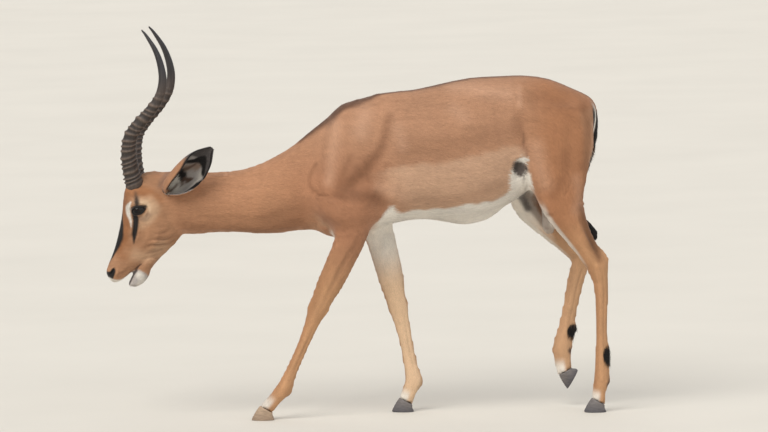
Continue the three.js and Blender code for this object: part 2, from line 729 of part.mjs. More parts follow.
function buildLegs() {
  for (const [name, form] of Object.entries(forms)) {
    const { names, at, rings } = CUTS[name.split("_")[0]];
    names.forEach((part, i) => {
      const field = i === 0 ? body : null;
      const options = { rings: rings[i], sides: 10, field, inset: GAP };
      add(`${name}_${part}`, shell(form, at[i], at[i + 1], options));
    });
    const [x, y, z] = LEGS[name].at(-1);
    for (const [place, side] of Object.entries({ outer: Math.sign(y), inner: -Math.sign(y) })) {
      const hoof = add(`${name}_${place}_claw`, claw(side), "hoof");
      hoof.position.set(x, y, z);
      hoof.rotation.y = -(TOE_DIP[name] ?? 0);
    }
  }
}

function buildHead() {
  const head = { rings: 24, sides: 22, field: headField };
  const skin = shell(skull, 0, 1, head);
  const clear = shell(skull, 0, 1, { ...head, grow: GAP });
  let cranium = skin;
  const throat = { rings: 11, sides: 18, field: nape };
  add("neck", shell(neck, 0.004, NECK_CUT - 0.002, throat), "hide", true);
  const clearNeck = shell(neck, 0, NECK_CUT, { ...throat, grow: GAP * 4 });
  for (const [name, side] of Object.entries(SIDES)) {
    const [x, y, z] = EYE.at;
    const ball = (radius) => solidOf(new THREE.SphereGeometry(radius, 12, 8).translate(x, side * y, z));
    cranium = cranium.subtract(ball(EYE.radius + GAP));
    add(`eye_${name}`, ball(EYE.radius), "eye", true);
    add(`horn_${name}`, largest(horn(side).subtract(clear)), "horn", true);
  }
  add("head", largest(cranium), "hide", true);
  const chin = shell(jaw, 0, 1, { rings: 8, sides: 12 });
  add("lower_jaw", largest(chin.subtract(clear)), "hide", true);
  const ears = {
    left: ear([-594, -44, 638], [-460, -98, 757], [-0.15, -0.85, -0.45]),
    right: ear([-598, 44, 640], [-520, 192, 664], [-0.5, 0.2, -0.84]),
  };
  for (const [name, made] of Object.entries(ears))
    add(`ear_${name}`, largest(made.subtract(clear).subtract(clearNeck)), "hide", true);
}

buildTorso();
buildLegs();
buildHead();

// The frame's origin is the middle of the model's footprint, on the floor.
animal.updateMatrixWorld(true);
const bounds = new THREE.Box3().setFromObject(animal, true);
const middle = bounds.getCenter(new THREE.Vector3());
const placed = new THREE.Group();
placed.add(animal);
animal.position.set(-middle.x, -middle.y, -bounds.min.z);

export default placed;
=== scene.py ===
"""A still, life-size black-faced impala ram, walking with its head low.

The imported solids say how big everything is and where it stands. One skin is cast
from the flesh nodes, smoothed, sculpted and painted; hair, eyes, horns and hooves
are separate pieces over it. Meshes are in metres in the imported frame. Places on
the animal are written in millimetres in its straight frame: x towards the tail,
y to its right, z up, as if the neck did not turn the head. Stance carries them.
"""

from __future__ import annotations

import logging
import math
from contextlib import contextmanager
from dataclasses import dataclass, field
from enum import Enum
from json import dumps
from typing import Callable, Iterator, Sequence

import bpy
import numpy as np
from mathutils import Matrix, Vector
from mathutils.bvhtree import BVHTree
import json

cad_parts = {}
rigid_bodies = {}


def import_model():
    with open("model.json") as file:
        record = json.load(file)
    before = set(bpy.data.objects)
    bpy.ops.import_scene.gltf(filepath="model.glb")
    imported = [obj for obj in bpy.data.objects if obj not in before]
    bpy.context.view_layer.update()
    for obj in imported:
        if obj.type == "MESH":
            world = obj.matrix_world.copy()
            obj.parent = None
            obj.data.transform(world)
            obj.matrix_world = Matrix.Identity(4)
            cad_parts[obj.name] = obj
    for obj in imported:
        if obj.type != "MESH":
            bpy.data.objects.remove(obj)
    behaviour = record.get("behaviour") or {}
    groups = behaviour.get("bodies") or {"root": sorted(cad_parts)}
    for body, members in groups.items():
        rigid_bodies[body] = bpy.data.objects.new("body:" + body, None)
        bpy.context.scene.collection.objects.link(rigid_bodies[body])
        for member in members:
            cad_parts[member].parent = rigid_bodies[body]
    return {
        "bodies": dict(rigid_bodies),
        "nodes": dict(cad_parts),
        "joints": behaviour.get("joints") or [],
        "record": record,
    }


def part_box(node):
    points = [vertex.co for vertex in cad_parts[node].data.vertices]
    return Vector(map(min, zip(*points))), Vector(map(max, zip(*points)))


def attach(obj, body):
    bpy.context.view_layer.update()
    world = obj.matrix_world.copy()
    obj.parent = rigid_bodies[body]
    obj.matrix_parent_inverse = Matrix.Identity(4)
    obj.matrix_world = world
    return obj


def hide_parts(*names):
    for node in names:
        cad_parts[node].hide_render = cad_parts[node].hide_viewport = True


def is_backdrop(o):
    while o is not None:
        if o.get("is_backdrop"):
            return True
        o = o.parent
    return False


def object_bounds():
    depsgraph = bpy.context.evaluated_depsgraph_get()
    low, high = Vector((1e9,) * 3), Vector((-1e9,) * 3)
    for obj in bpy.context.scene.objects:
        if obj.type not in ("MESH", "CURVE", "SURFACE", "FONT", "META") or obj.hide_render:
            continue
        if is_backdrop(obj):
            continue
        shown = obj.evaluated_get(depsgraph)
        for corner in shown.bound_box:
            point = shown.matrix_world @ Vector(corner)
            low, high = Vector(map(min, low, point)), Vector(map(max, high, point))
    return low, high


Array = np.ndarray
Vec2 = tuple[float, float]
Vec3 = tuple[float, float, float]

MM = 0.001
SIDES = {"left": -1, "right": 1}
NAMES = {-1: "left", 1: "right"}
log = logging.getLogger("impala")


# ---------------------------------------------------------------- small maths
def ramp(value: Array, low: float, high: float) -> Array:
    """Rise smoothly from 0 at low to 1 at high."""
    share = np.clip((value - low) / (high - low), 0.0, 1.0)
    return share * share * (3.0 - 2.0 * share)


def fall(value: Array, low: float, high: float) -> Array:
    """Fall smoothly from 1 at low to 0 at high."""
    return 1.0 - ramp(value, low, high)


def bell(value: Array) -> Array:
    """Fall smoothly from 1 at zero to 0 at one, the same on both sides."""
    return np.clip(1.0 - value * value, 0.0, 1.0) ** 2


def hue(red: float, green: float, blue: float) -> Array:
    """Turn a display colour with channels of 0 to 255 into linear light.

    Args:
        red: The red channel.
        green: The green channel.
        blue: The blue channel.

    Returns:
        The three linear channels.
    """
    value = np.array([red, green, blue], float) / 255.0
    return np.where(value <= 0.04045, value / 12.92, ((value + 0.055) / 1.055) ** 2.4)


def blend(base: Array, over: Array, share: Array) -> Array:
    """Lay one colour over others, by a share for each row."""
    return base + (over - base) * share[:, None]


def unit(vectors: Array) -> Array:
    """Scale each row to length one."""
    return vectors / np.maximum(np.linalg.norm(vectors, axis=-1, keepdims=True), 1e-9)


def across(vectors: Array, normals: Array) -> Array:
    """Lay each vector flat against the surface with that normal."""
    return unit(vectors - normals * (vectors * normals).sum(1, keepdims=True))


def curved(points: Sequence[Sequence[float]], closed: bool = False, steps: int = 5) -> Array:
    """Draw a smooth curve through a few points.

    Args:
        points: The points it passes through.
        closed: Whether it returns to its first point.
        steps: How many pieces each stretch gets.

    Returns:
        The points of the finer line.
    """
    known = np.asarray(points, float)
    if closed:
        known = np.vstack([known[-1:], known, known[:2]])
    else:
        known = np.vstack([2 * known[0] - known[1], known, 2 * known[-1] - known[-2]])
    share = np.arange(steps)[:, None] / steps
    stretches = []
    for before, start, end, after in zip(known, known[1:], known[2:], known[3:]):
        rise, fall = (end - before) / 2, (after - start) / 2
        bend = 3 * (end - start) - 2 * rise - fall
        ease = 2 * (start - end) + rise + fall
        stretches.append(start + share * rise + share**2 * bend + share**3 * ease)
    stretches.append(known[-2:-1])
    return np.vstack(stretches)


def lane(points: Array, line: Array) -> tuple[Array, Array]:
    """Measure points against a broken line, in two or three dimensions.

    Args:
        points: The points to measure.
        line: The corners of the line.

    Returns:
        Each point's distance, and how far along the line its nearest place is,
        counted in corners.
    """
    nearest = np.full(len(points), np.inf)
    along = np.zeros(len(points))
    for index, (start, end) in enumerate(zip(line, line[1:])):
        step = end - start
        share = np.clip((points - start) @ step / max(step @ step, 1e-9), 0.0, 1.0)
        gap = np.linalg.norm(points - start - share[:, None] * step, axis=1)
        closer = gap < nearest
        nearest[closer] = gap[closer]
        along[closer] = index + share[closer]
    return nearest, along


def within(points: Array, outline: Array) -> Array:
    """Measure points against a closed outline.

    Args:
        points: Points in the outline's plane.
        outline: Its corners, the first repeated at the end.

    Returns:
        The distance from the outline, below zero inside it.
    """
    gap, _ = lane(points, outline)
    inside = np.zeros(len(points), bool)
    for (x0, y0), (x1, y1) in zip(outline, outline[1:]):
        spans = (y0 > points[:, 1]) != (y1 > points[:, 1])
        reach = (points[:, 1] - y0) * (x1 - x0) / ((y1 - y0) or 1e-9) + x0
        inside ^= spans & (points[:, 0] < reach)
    return np.where(inside, -gap, gap)


def smooth(values: Sequence[float], row: Array) -> Array:
    """Read a list of numbers between its entries, on a smooth curve through them."""
    fine = curved(np.stack([np.arange(len(values)), values], 1))
    return np.interp(row, fine[:, 0], fine[:, 1])


def waves(points: Array, size: float, seed: int, count: int = 9) -> Array:
    """Smooth noise from crossed waves, about -1 to 1.

    Args:
        points: Where it is read.
        size: The usual width of a blotch.
        seed: Which noise it is.
        count: How many waves are crossed.

    Returns:
        The noise at each point.
    """
    draw = np.random.default_rng(seed)
    heading = unit(draw.normal(size=(count, points.shape[1]))) * (math.tau / (2 * size))
    heading *= draw.uniform(0.6, 1.5, (count, 1))
    phase = draw.uniform(0, math.tau, count)
    return np.sin(points @ heading.T + phase).sum(1) / math.sqrt(count)


# ---------------------------------------------------------------- stance
@dataclass
class Stance:
    """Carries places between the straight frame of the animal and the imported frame."""

    head_turn: float = math.radians(8.0)
    turn_from: float = -240.0
    turn_to: float = -545.0
    eye: Vec3 = (-668.0, -48.0, 585.0)
    offset: Array = field(init=False)

    def __post_init__(self) -> None:
        """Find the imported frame's shift from the place of one eye."""
        low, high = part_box("eye_left")
        centre = np.array(low + high) / 2 / MM
        self.offset = centre - self._turned(np.array([self.eye]))[0]

    def _angle(self, x: Array) -> tuple[Array, Array]:
        """Give the turn at each x, and how far the neck has swung sideways there."""
        reach = self.turn_from - self.turn_to
        share = np.clip((self.turn_from - x) / reach, 0.0, 1.0)
        angle = self.head_turn * share**2 * (3 - 2 * share)
        return angle, reach * self.head_turn * (share**3 - share**4 / 2)

    def _turned(self, points: Array) -> Array:
        """Swing straight points round with the neck."""
        x, y, z = points.T
        angle, swing = self._angle(x)
        rest = np.maximum(self.turn_to - x, 0.0)
        along = np.maximum(x, self.turn_to) - rest * np.cos(angle) + y * np.sin(angle)
        return np.stack([along, swing + rest * np.sin(angle) + y * np.cos(angle), z], 1)

    def packed(self, points: Array) -> Array:
        """Carry straight millimetres to packed metres."""
        return (self._turned(np.atleast_2d(np.asarray(points, float))) + self.offset) * MM

    def straight(self, points: Array) -> Array:
        """Carry packed metres to straight millimetres."""
        goal = np.asarray(points, float) / MM - self.offset
        found = goal.copy()
        for _ in range(12):
            found += goal - self._turned(found)
        return found

    def face_back(self, places: Array, vectors: Array) -> Array:
        """Turn packed directions at straight places into straight directions."""
        return self._swung(places, vectors, -1)

    def face_on(self, places: Array, vectors: Array) -> Array:
        """Turn straight directions at straight places into packed directions."""
        return self._swung(places, vectors, 1)

    def _swung(self, places: Array, vectors: Array, way: int) -> Array:
        """Swing directions with the neck, or with a way of -1 back again."""
        angle = way * self._angle(places[:, 0])[0]
        cos, sin = np.cos(angle), np.sin(angle)
        x, y, z = vectors.T
        return np.stack([x * cos + y * sin, y * cos - x * sin, z], 1)


# ---------------------------------------------------------------- the animal's plan
CORONET = math.radians(30)  # how steeply the top of a hoof falls away to its heel


@dataclass(frozen=True)
class Leg:
    """The line of one leg's bones, from its root down to the hoof."""

    name: str
    side: int
    joints: tuple[Vec3, ...]
    free_from: float  # joint number from which the leg stands clear of the trunk
    dip: float = 0.0  # how far the toe hangs

    def over_hoof(self, at: Array) -> Array:
        """Height of places over the slanting plane in which this leg's hoof begins."""
        x, _, z = (at - np.array(self.joints[-1], float)).T
        return x * math.sin(CORONET - self.dip) + z * math.cos(CORONET - self.dip)


LEGS = (
    Leg("foreleg_left", -1, ((-96, -78, 610), (-93, -75, 506), (-192, -62, 297),
                             (-289, -56, 84), (-336, -55, 31)), 1.0),
    Leg("foreleg_right", 1, ((-74, 78, 610), (-14, 75, 504), (40, 62, 286),
                             (76, 56, 84), (53, 55, 31)), 1.0),
    Leg("hindleg_left", -1, ((462, -52, 836), (470, -66, 668), (492, -74, 562), (577, -72, 411),
                             (590, -72, 338), (586, -75, 88), (575, -75, 31)), 2.0),
    Leg("hindleg_right", 1, ((458, 52, 830), (432, 68, 668), (414, 74, 568), (549, 72, 418),
                             (530, 72, 345), (490, 74, 166), (496, 74, 99)), 2.0, math.radians(61)),
)


@dataclass(frozen=True)
class Ear:
    """One ear: a leaf rolled about a line that runs along its back, from root to tip."""

    name: str
    side: int
    root: Vec3
    tip: Vec3
    opens: Vec3
    radius: tuple[float, ...] = (12, 25, 32, 36, 38, 37, 29, 9)
    upper: tuple[float, ...] = (176, 158, 148, 143, 136, 118, 82, 50)
    lower: tuple[float, ...] = (150, 134, 110, 98, 90, 84, 68, 50)
    lobe: float = 0.22
    thick: float = 3.4

    def spread(self, rise: Array, turn: Array) -> tuple[Array, Array]:
        """Give the radius, and how far the edge wraps in degrees, where turn is below zero
        on the lower side.
        """
        row = rise * (len(self.radius) - 1)
        swell = self.lobe * bell((rise - 0.4) / 0.4) * ramp(-turn, 0, 60)
        wrap = np.where(turn > 0, smooth(self.upper, row), smooth(self.lower, row))
        return smooth(self.radius, row) * (1 + swell), wrap

    def axes(self) -> tuple[Array, Array, Array, Array]:
        """Give the root, and the directions along the ear, out of its hollow, and to its upper edge."""
        root, tip = np.array(self.root, float), np.array(self.tip, float)
        axis = unit(tip - root)
        opens = unit(np.array(self.opens) - axis * (np.array(self.opens) @ axis))
        return root, axis, opens, np.cross(axis, opens) * self.side

    @property
    def length(self) -> float:
        """Distance from root to tip."""
        return math.dist(self.root, self.tip)


EARS = (
    Ear("ear_left", -1, (-594, -44, 638), (-460, -98, 757), (-0.15, -0.85, -0.45)),
    Ear("ear_right", 1, (-598, 44, 640), (-520, 192, 664), (-0.5, 0.2, -0.84)),
)


GLAND = 4.715  # joint number of the black tuft behind a hind cannon
TAIL = ((574, 0, 846), (586, 0, 815), (586, 0, 764), (577, 0, 713), (559, 0, 662), (540, 0, 611),
        (537, 0, 560), (540, 0, 526), (568, 0, 498), (582, 0, 470))


@dataclass
class Sites:
    """Places on the animal's surface, with all that its markings and hair go by.

    at and out are places and outward directions in the straight frame. leg counts
    the nearest leg, joint how far down its bones the place is, and ahead and apart
    how much it faces forward and away from the other leg. ear is the number of its ear
    or -1, rise runs from root to tip, fold from the lower edge at -1 round the back
    to the upper one at 1, and cup is 1 on the hollow side. tail is 1 on the tail, and
    dock counts its joints.
    """

    at: Array
    out: Array
    leg: Array = field(init=False)
    joint: Array = field(init=False)
    off_bone: Array = field(init=False)
    ahead: Array = field(init=False)
    apart: Array = field(init=False)
    ear: Array = field(init=False)
    rise: Array = field(init=False)
    fold: Array = field(init=False)
    cup: Array = field(init=False)
    tail: Array = field(init=False)
    dock: Array = field(init=False)

    def __post_init__(self) -> None:
        """Measure every place against the legs and the tail."""
        count = len(self.at)
        self.leg = np.zeros(count, int)
        self.joint, self.ahead, self.apart = np.zeros((3, count))
        self.off_bone = np.full(count, np.inf)
        for number, leg in enumerate(LEGS):
            self._near_leg(number, leg)
        self.ear = np.full(count, -1)
        self.rise, self.fold, self.cup = np.zeros((3, count))
        gap, self.dock = lane(self.at, np.array(TAIL, float))
        self.tail = fall(gap, 18, 23)

    def _near_leg(self, number: int, leg: Leg) -> None:
        """Measure the places against one leg and keep those nearest to it."""
        bones = np.array(leg.joints, float)
        gap, joint = lane(self.at, bones)
        chosen = (gap < self.off_bone) & (self.at[:, 1] * leg.side > -20)
        bone = np.minimum(joint.astype(int), len(bones) - 2)
        along = unit(np.diff(bones, axis=0))[bone]
        foot = bones[bone] + (joint - bone)[:, None] * np.diff(bones, axis=0)[bone]
        forward = across(np.tile([-1.0, 0.0, 0.0], (len(gap), 1)), along)
        spoke = unit(self.at - foot)
        self.leg[chosen] = number
        self.joint[chosen] = joint[chosen]
        self.off_bone[chosen] = gap[chosen]
        self.ahead[chosen] = (spoke * forward).sum(1)[chosen]
        self.apart[chosen] = spoke[chosen, 1] * leg.side

    def mark_ear(self, number: int, chosen: Array) -> None:
        """Say that some places lie on one ear, and where on it.

        Args:
            number: Which ear.
            chosen: A true or false value for each place.
        """
        ear = EARS[number]
        root, axis, opens, aside = ear.axes()
        way = self.at[chosen] - root
        rise = np.clip(way @ axis / ear.length, 0, 1)
        radius = smooth(ear.radius, rise * (len(ear.radius) - 1))
        spoke = way - (way @ axis)[:, None] * axis - radius[:, None] * opens
        turn = np.degrees(np.arctan2(spoke @ aside, -(spoke @ opens)))
        self.ear[chosen] = number
        self.rise[chosen] = rise
        self.fold[chosen] = turn / ear.spread(rise, turn)[1]
        self.cup[chosen] = ramp(-(unit(spoke) * self.out[chosen]).sum(1), -0.2, 0.2)

    @property
    def head(self) -> Array:
        """How much each place belongs to the head."""
        return fall(self.at[:, 0] + 0.35 * (self.at[:, 2] - 560), -600, -550)

    @property
    def limb(self) -> Array:
        """How much each place belongs to the free part of a leg."""
        start = np.array([leg.free_from for leg in LEGS])[self.leg]
        return ramp(self.joint - start, -0.35, 0.1) * fall(self.off_bone, 70, 110)

    @property
    def turn(self) -> Array:
        """How far round its leg each place is: 0 ahead, 90 outside, 180 behind and 270 inside."""
        return (np.degrees(np.arctan2(self.apart, self.ahead)) + 90) % 360 - 90

    @property
    def hind(self) -> Array:
        """Whether each place is nearest to a hind leg."""
        return (self.leg >= 2).astype(float)

    @property
    def flank(self) -> Array:
        """How much each place faces sideways."""
        return ramp(np.abs(self.out[:, 1]), 0.12, 0.45)


# ---------------------------------------------------------------- markings
class View(Enum):
    """Which two of a place's coordinates a marking or a stroke is drawn in."""

    SIDE = "x and z"
    FACE = "distance from the middle, and z"
    EAR = "rise and fold, in hundredths"
    LEG = "joint in hundredths, and turn in thirds of a degree"


def seen(sites: Sites, view: View) -> Array:
    """Give the two coordinates of every place in a view.

    Args:
        sites: The places.
        view: The view they are drawn in.

    Returns:
        Two columns, in millimetres, or for an ear in hundredths.
    """
    x, y, z = sites.at.T
    columns = {
        View.SIDE: (x, z),
        View.FACE: (np.abs(y), z),
        View.EAR: (sites.rise * 100, sites.fold * 100),
        View.LEG: (sites.joint * 100, sites.turn / 3),
    }[view]
    return np.stack(columns, 1)


Mask = Callable[[Sites], Array]


def on_head(sites: Sites) -> Array:
    """Mask of the head without its ears."""
    return sites.head * (sites.ear < 0)


def on_face(sites: Sites) -> Array:
    """Mask of the sides of the head."""
    return on_head(sites) * ramp(np.abs(sites.out[:, 1]), 0.02, 0.3)


def on_trunk(sites: Sites) -> Array:
    """Mask of the neck and trunk."""
    return (1 - sites.head) * (1 - sites.limb) * (sites.ear < 0)


def on_side(sites: Sites) -> Array:
    """Mask of the sides of the neck and trunk."""
    return on_trunk(sites) * sites.flank


def on_side_or_limb(sites: Sites) -> Array:
    """Mask of the sides of the trunk and of the outer side of the legs."""
    outer = np.where(sites.limb > 0.3, sites.apart > -0.2, True)
    return sites.flank * outer * (sites.ear < 0) * (1 - sites.head)


def on_foreleg(sites: Sites) -> Array:
    """Mask of the free part of the forelegs."""
    return sites.limb * (1 - sites.hind)


def on_hindleg(sites: Sites) -> Array:
    """Mask of the free part of the hind legs."""
    return sites.limb * sites.hind


def on_gland(sites: Sites) -> Array:
    """Mask of the black tufts behind the hind cannons."""
    gland = np.hypot((sites.joint - GLAND) / 0.13, (sites.turn - 180) / 85)
    return fall(gland, 0.7, 1.0) * sites.hind * sites.limb


def off_ears(sites: Sites) -> Array:
    """Mask of everything but the ears."""
    return (sites.ear < 0).astype(float)


def in_groin(sites: Sites) -> Array:
    """Mask of what faces the middle between the hind legs."""
    x, y, _ = sites.at.T
    facing = ramp(-sites.out[:, 1] * np.sign(y), -0.2, 0.2)
    return off_ears(sites) * (x > 330) * (1 - sites.tail) * (1 - (1 - facing) * ramp(np.abs(y), 12, 30))


def in_pouch(sites: Sites) -> Array:
    """Mask of the scrotum."""
    x, y, z = sites.at.T
    return ramp(x, 412, 424) * fall(x, 484, 496) * fall(np.abs(y), 26, 34) * fall(z, 580, 600)


def off_head(sites: Sites) -> Array:
    """Mask of everything but the head and ears."""
    return (1 - sites.head) * (sites.ear < 0)


def in_ear(sites: Sites) -> Array:
    """Mask of the hollow side of the ears."""
    return (sites.ear >= 0) * sites.cup


def on_bridge(sites: Sites) -> Array:
    """Mask of the front of the face."""
    return on_head(sites) * ramp(-sites.out[:, 0], 0.0, 0.25)


def on_either_ear(sites: Sites) -> Array:
    """Mask of both sides of the ears."""
    return (sites.ear >= 0).astype(float)


def on_ear(sites: Sites) -> Array:
    """Mask of the back of the ears."""
    return (sites.ear >= 0) * (1 - sites.cup)


@dataclass(frozen=True)
class Patch:
    """One marking: a stripe of some half width, or with no width a closed outline.

    soft is the width of its blurred edge, and a half of several numbers is spread
    along the stripe.
    """

    tint: Array
    path: tuple[Vec2, ...]
    mask: Mask
    half: float | tuple[float, ...] = 0.0
    soft: float = 5.0
    view: View = View.SIDE
    strength: float = 1.0

    def share(self, sites: Sites) -> Array:
        """Say how much of this marking each place has."""
        share = self.mask(sites) * self.strength
        chosen = np.flatnonzero(share > 0.01)
        plane = seen(sites, self.view)[chosen]
        margin = self.soft + np.max(self.half)
        low = np.min(self.path, axis=0) - margin
        high = np.max(self.path, axis=0) + margin
        near = ((plane > low) & (plane < high)).all(1)
        chosen, plane = chosen[near], plane[near]
        line = curved(self.path, closed=not np.any(self.half))
        if np.any(self.half):
            gap, along = lane(plane, line)
            spread = np.linspace(0, len(line) - 1, np.size(self.half))
            gap = gap - np.interp(along, spread, np.atleast_1d(self.half))
        else:
            gap = within(plane, line)
        full = np.zeros(len(share))
        full[chosen] = share[chosen] * fall(gap, -self.soft / 2, self.soft / 2)
        return full


class Tint:
    """The colours of the coat and of bare skin, with the painted shade, shadow and sheen laid over the coat.
    """

    SADDLE = hue(172, 128, 98)
    HAUNCH = hue(164, 114, 80)
    # the dark hair along the back, also used as painted shade in the crease above the flank
    BACK_HAIR_AND_CREASE_SHADE = hue(98, 66, 47)
    # painted shade for the hollows, creases and undersides of the trunk
    PAINTED_SHADE = hue(104, 66, 42)
    # painted sheen, where the coat shines
    SHEEN = hue(202, 160, 132)
    # painted shadow in the hollow of the flank
    HOLLOW_SHADOW = hue(58, 45, 40)
    NECK = hue(176, 128, 95)
    FLANK = hue(190, 152, 124)
    SHOULDER = hue(163, 115, 85)
    LEG = hue(190, 144, 105)
    LEG_DARK = hue(156, 110, 76)
    PALE = hue(228, 198, 164)
    WHITE = hue(224, 217, 206)
    FACE = hue(160, 110, 74)
    RICH = hue(146, 94, 56)
    CHEEK = hue(168, 124, 92)
    DUN = hue(196, 160, 128)
    UMBER = hue(92, 70, 58)
    POUCH = hue(136, 110, 92)
    GREY = hue(176, 168, 162)
    DARK_GREY = hue(84, 78, 76)
    BLACK = hue(26, 22, 21)


# The upper edges of the light flank band and of the white belly, which ends at the elbow and
# in a line down the front of the thigh
FLANK_TOP = ((-60, 660), (-10, 686), (69, 697), (124, 702), (180, 708), (249, 723), (318, 737),
             (359, 744), (384, 724), (392, 690))
BELLY_TOP = ((-62, 484), (-24, 536), (12, 584), (24, 574), (40, 564), (67, 571), (149, 574), (246, 584),
             (312, 597), (339, 621), (338, 655), (350, 690), (366, 706), (384, 702), (390, 655), (400, 606),
             (418, 566), (440, 524), (478, 466))
NOSE = ((-768, 412), (-755, 414), (-749, 421), (-743, 424), (-739, 416), (-743, 402), (-750, 391),
        (-764, 392))
HAIRLINE = ((-775, 412), (-756, 415), (-745, 423), (-740, 414), (-746, 394), (-768, 389))
BODY_PATCHES = (
    # painted shade: behind and before the shoulder blade, the elbow, the throat, the lower saddle and flank
    Patch(Tint.PAINTED_SHADE, ((12, 828), (-10, 746), (-46, 700), (-91, 658), (-125, 626)), on_side,
          (6, 13, 18, 18, 9), 32, strength=0.62),
    Patch(Tint.PAINTED_SHADE, ((-96, 726), (-118, 680), (-138, 630)), on_side, 6, 26, strength=0.4),
    Patch(Tint.PAINTED_SHADE, ((-189, 703), (-206, 664), (-194, 630), (-150, 617), (-110, 616)), on_side, 3, 14,
          strength=0.5),
    Patch(Tint.PAINTED_SHADE, ((-84, 622), (-40, 616), (-8, 594)), on_side, 16, 32, strength=0.5),
    Patch(Tint.PAINTED_SHADE, ((-560, 540), (-430, 528), (-330, 526), (-240, 544)), on_side, 10, 50, strength=0.5),
    Patch(Tint.PAINTED_SHADE, ((50, 738), (150, 748), (250, 768), (350, 790)), on_side, 24, 60, strength=0.26),
    Patch(Tint.PAINTED_SHADE, ((60, 596), (150, 598), (240, 610), (310, 636)), on_side, 6, 50, strength=0.3),
    # painted shade: the hip, the fold above the flank, the hamstring, the buttock and behind the shin
    Patch(Tint.PAINTED_SHADE, ((400, 882), (446, 868), (500, 848)), on_side, 20, 60, strength=0.3),
    Patch(Tint.PAINTED_SHADE, ((366, 826), (372, 780), (380, 736)), on_side, 12, 44, strength=0.34),
    # painted shade in the crease above the flank, in the back's dark colour
    Patch(Tint.BACK_HAIR_AND_CREASE_SHADE, ((374, 800), (380, 760), (388, 716)), on_side, (1, 3, 4), 12, strength=0.7),
    Patch(Tint.PAINTED_SHADE, ((494, 720), (482, 655), (458, 606)), on_side_or_limb, 9, 40, strength=0.38),
    Patch(Tint.PAINTED_SHADE, ((546, 846), (556, 800), (552, 730), (545, 680)), on_side, 9, 38, strength=0.55),
    Patch(Tint.PAINTED_SHADE, ((532, 570), (556, 512), (570, 466), (584, 424)), on_side_or_limb, (6, 14, 16, 6), 28,
          strength=0.8),
    # painted shade low on the neck and behind the shoulder
    Patch(Tint.PAINTED_SHADE, ((-330, 560), (-280, 570), (-236, 590)), on_side, 16, 50, strength=0.3),
    Patch(Tint.PAINTED_SHADE, ((2, 700), (-20, 676), (-44, 660)), on_side, (6, 10, 8), 26, strength=0.32),
    # painted highlights: the sheen where the coat shines over bone and muscle
    Patch(Tint.SHEEN, ((-54, 836), (-66, 790)), on_side, 16, 56, strength=0.5),
    Patch(Tint.SHEEN, ((-130, 812), (-142, 750), (-150, 700)), on_side, 9, 44, strength=0.42),
    Patch(Tint.SHEEN, ((-152, 676), (-158, 658)), on_side, 10, 36, strength=0.5),
    Patch(Tint.SHEEN, ((34, 800), (44, 750)), on_side, 10, 46, strength=0.36),
    Patch(Tint.SHEEN, ((190, 906), (262, 896), (340, 884)), on_side, 14, 54, strength=0.5),
    Patch(Tint.SHEEN, ((190, 846), (214, 826)), on_side, 12, 56, strength=0.36),
    Patch(Tint.SHEEN, ((371, 900), (370, 852)), on_side, 4, 18, strength=0.45),
    Patch(Tint.SHEEN, ((-20, 640), (22, 626), (62, 610)), on_side, 12, 36, strength=0.4),
    Patch(Tint.SHEEN, ((412, 738), (420, 690), (434, 640)), on_side, 16, 54, strength=0.45),
    Patch(Tint.SHEEN, ((524, 650), (530, 604), (520, 560)), on_side_or_limb, 9, 40, strength=0.36),
    Patch(Tint.SHEEN, ((573, 800), (572, 740), (564, 690)), on_side, 3, 12, strength=0.6),
    # the white spot of the flank, painted shadow in its hollow, the line down the thigh, and the groin
    Patch(Tint.WHITE, ((362, 703), (375, 706), (390, 703)), on_side, 4.5, 4),
    Patch(Tint.WHITE, ((392, 662), (400, 620), (414, 586), (434, 550)), on_side, (6, 6, 5, 3), 6),
    Patch(Tint.HOLLOW_SHADOW, ((350, 694), (367, 699), (384, 691), (384, 672), (377, 656), (360, 660), (350, 674)),
          on_side, 0.0, 6, strength=0.93),
    Patch(Tint.UMBER, ((392, 612), (420, 592), (448, 548), (456, 508), (440, 504), (412, 540), (388, 574)),
          in_groin, 0.0, 12, strength=0.65),
    Patch(Tint.DARK_GREY, ((378, 594), (390, 578), (398, 560)), in_groin, 10, 12, strength=0.85),
)
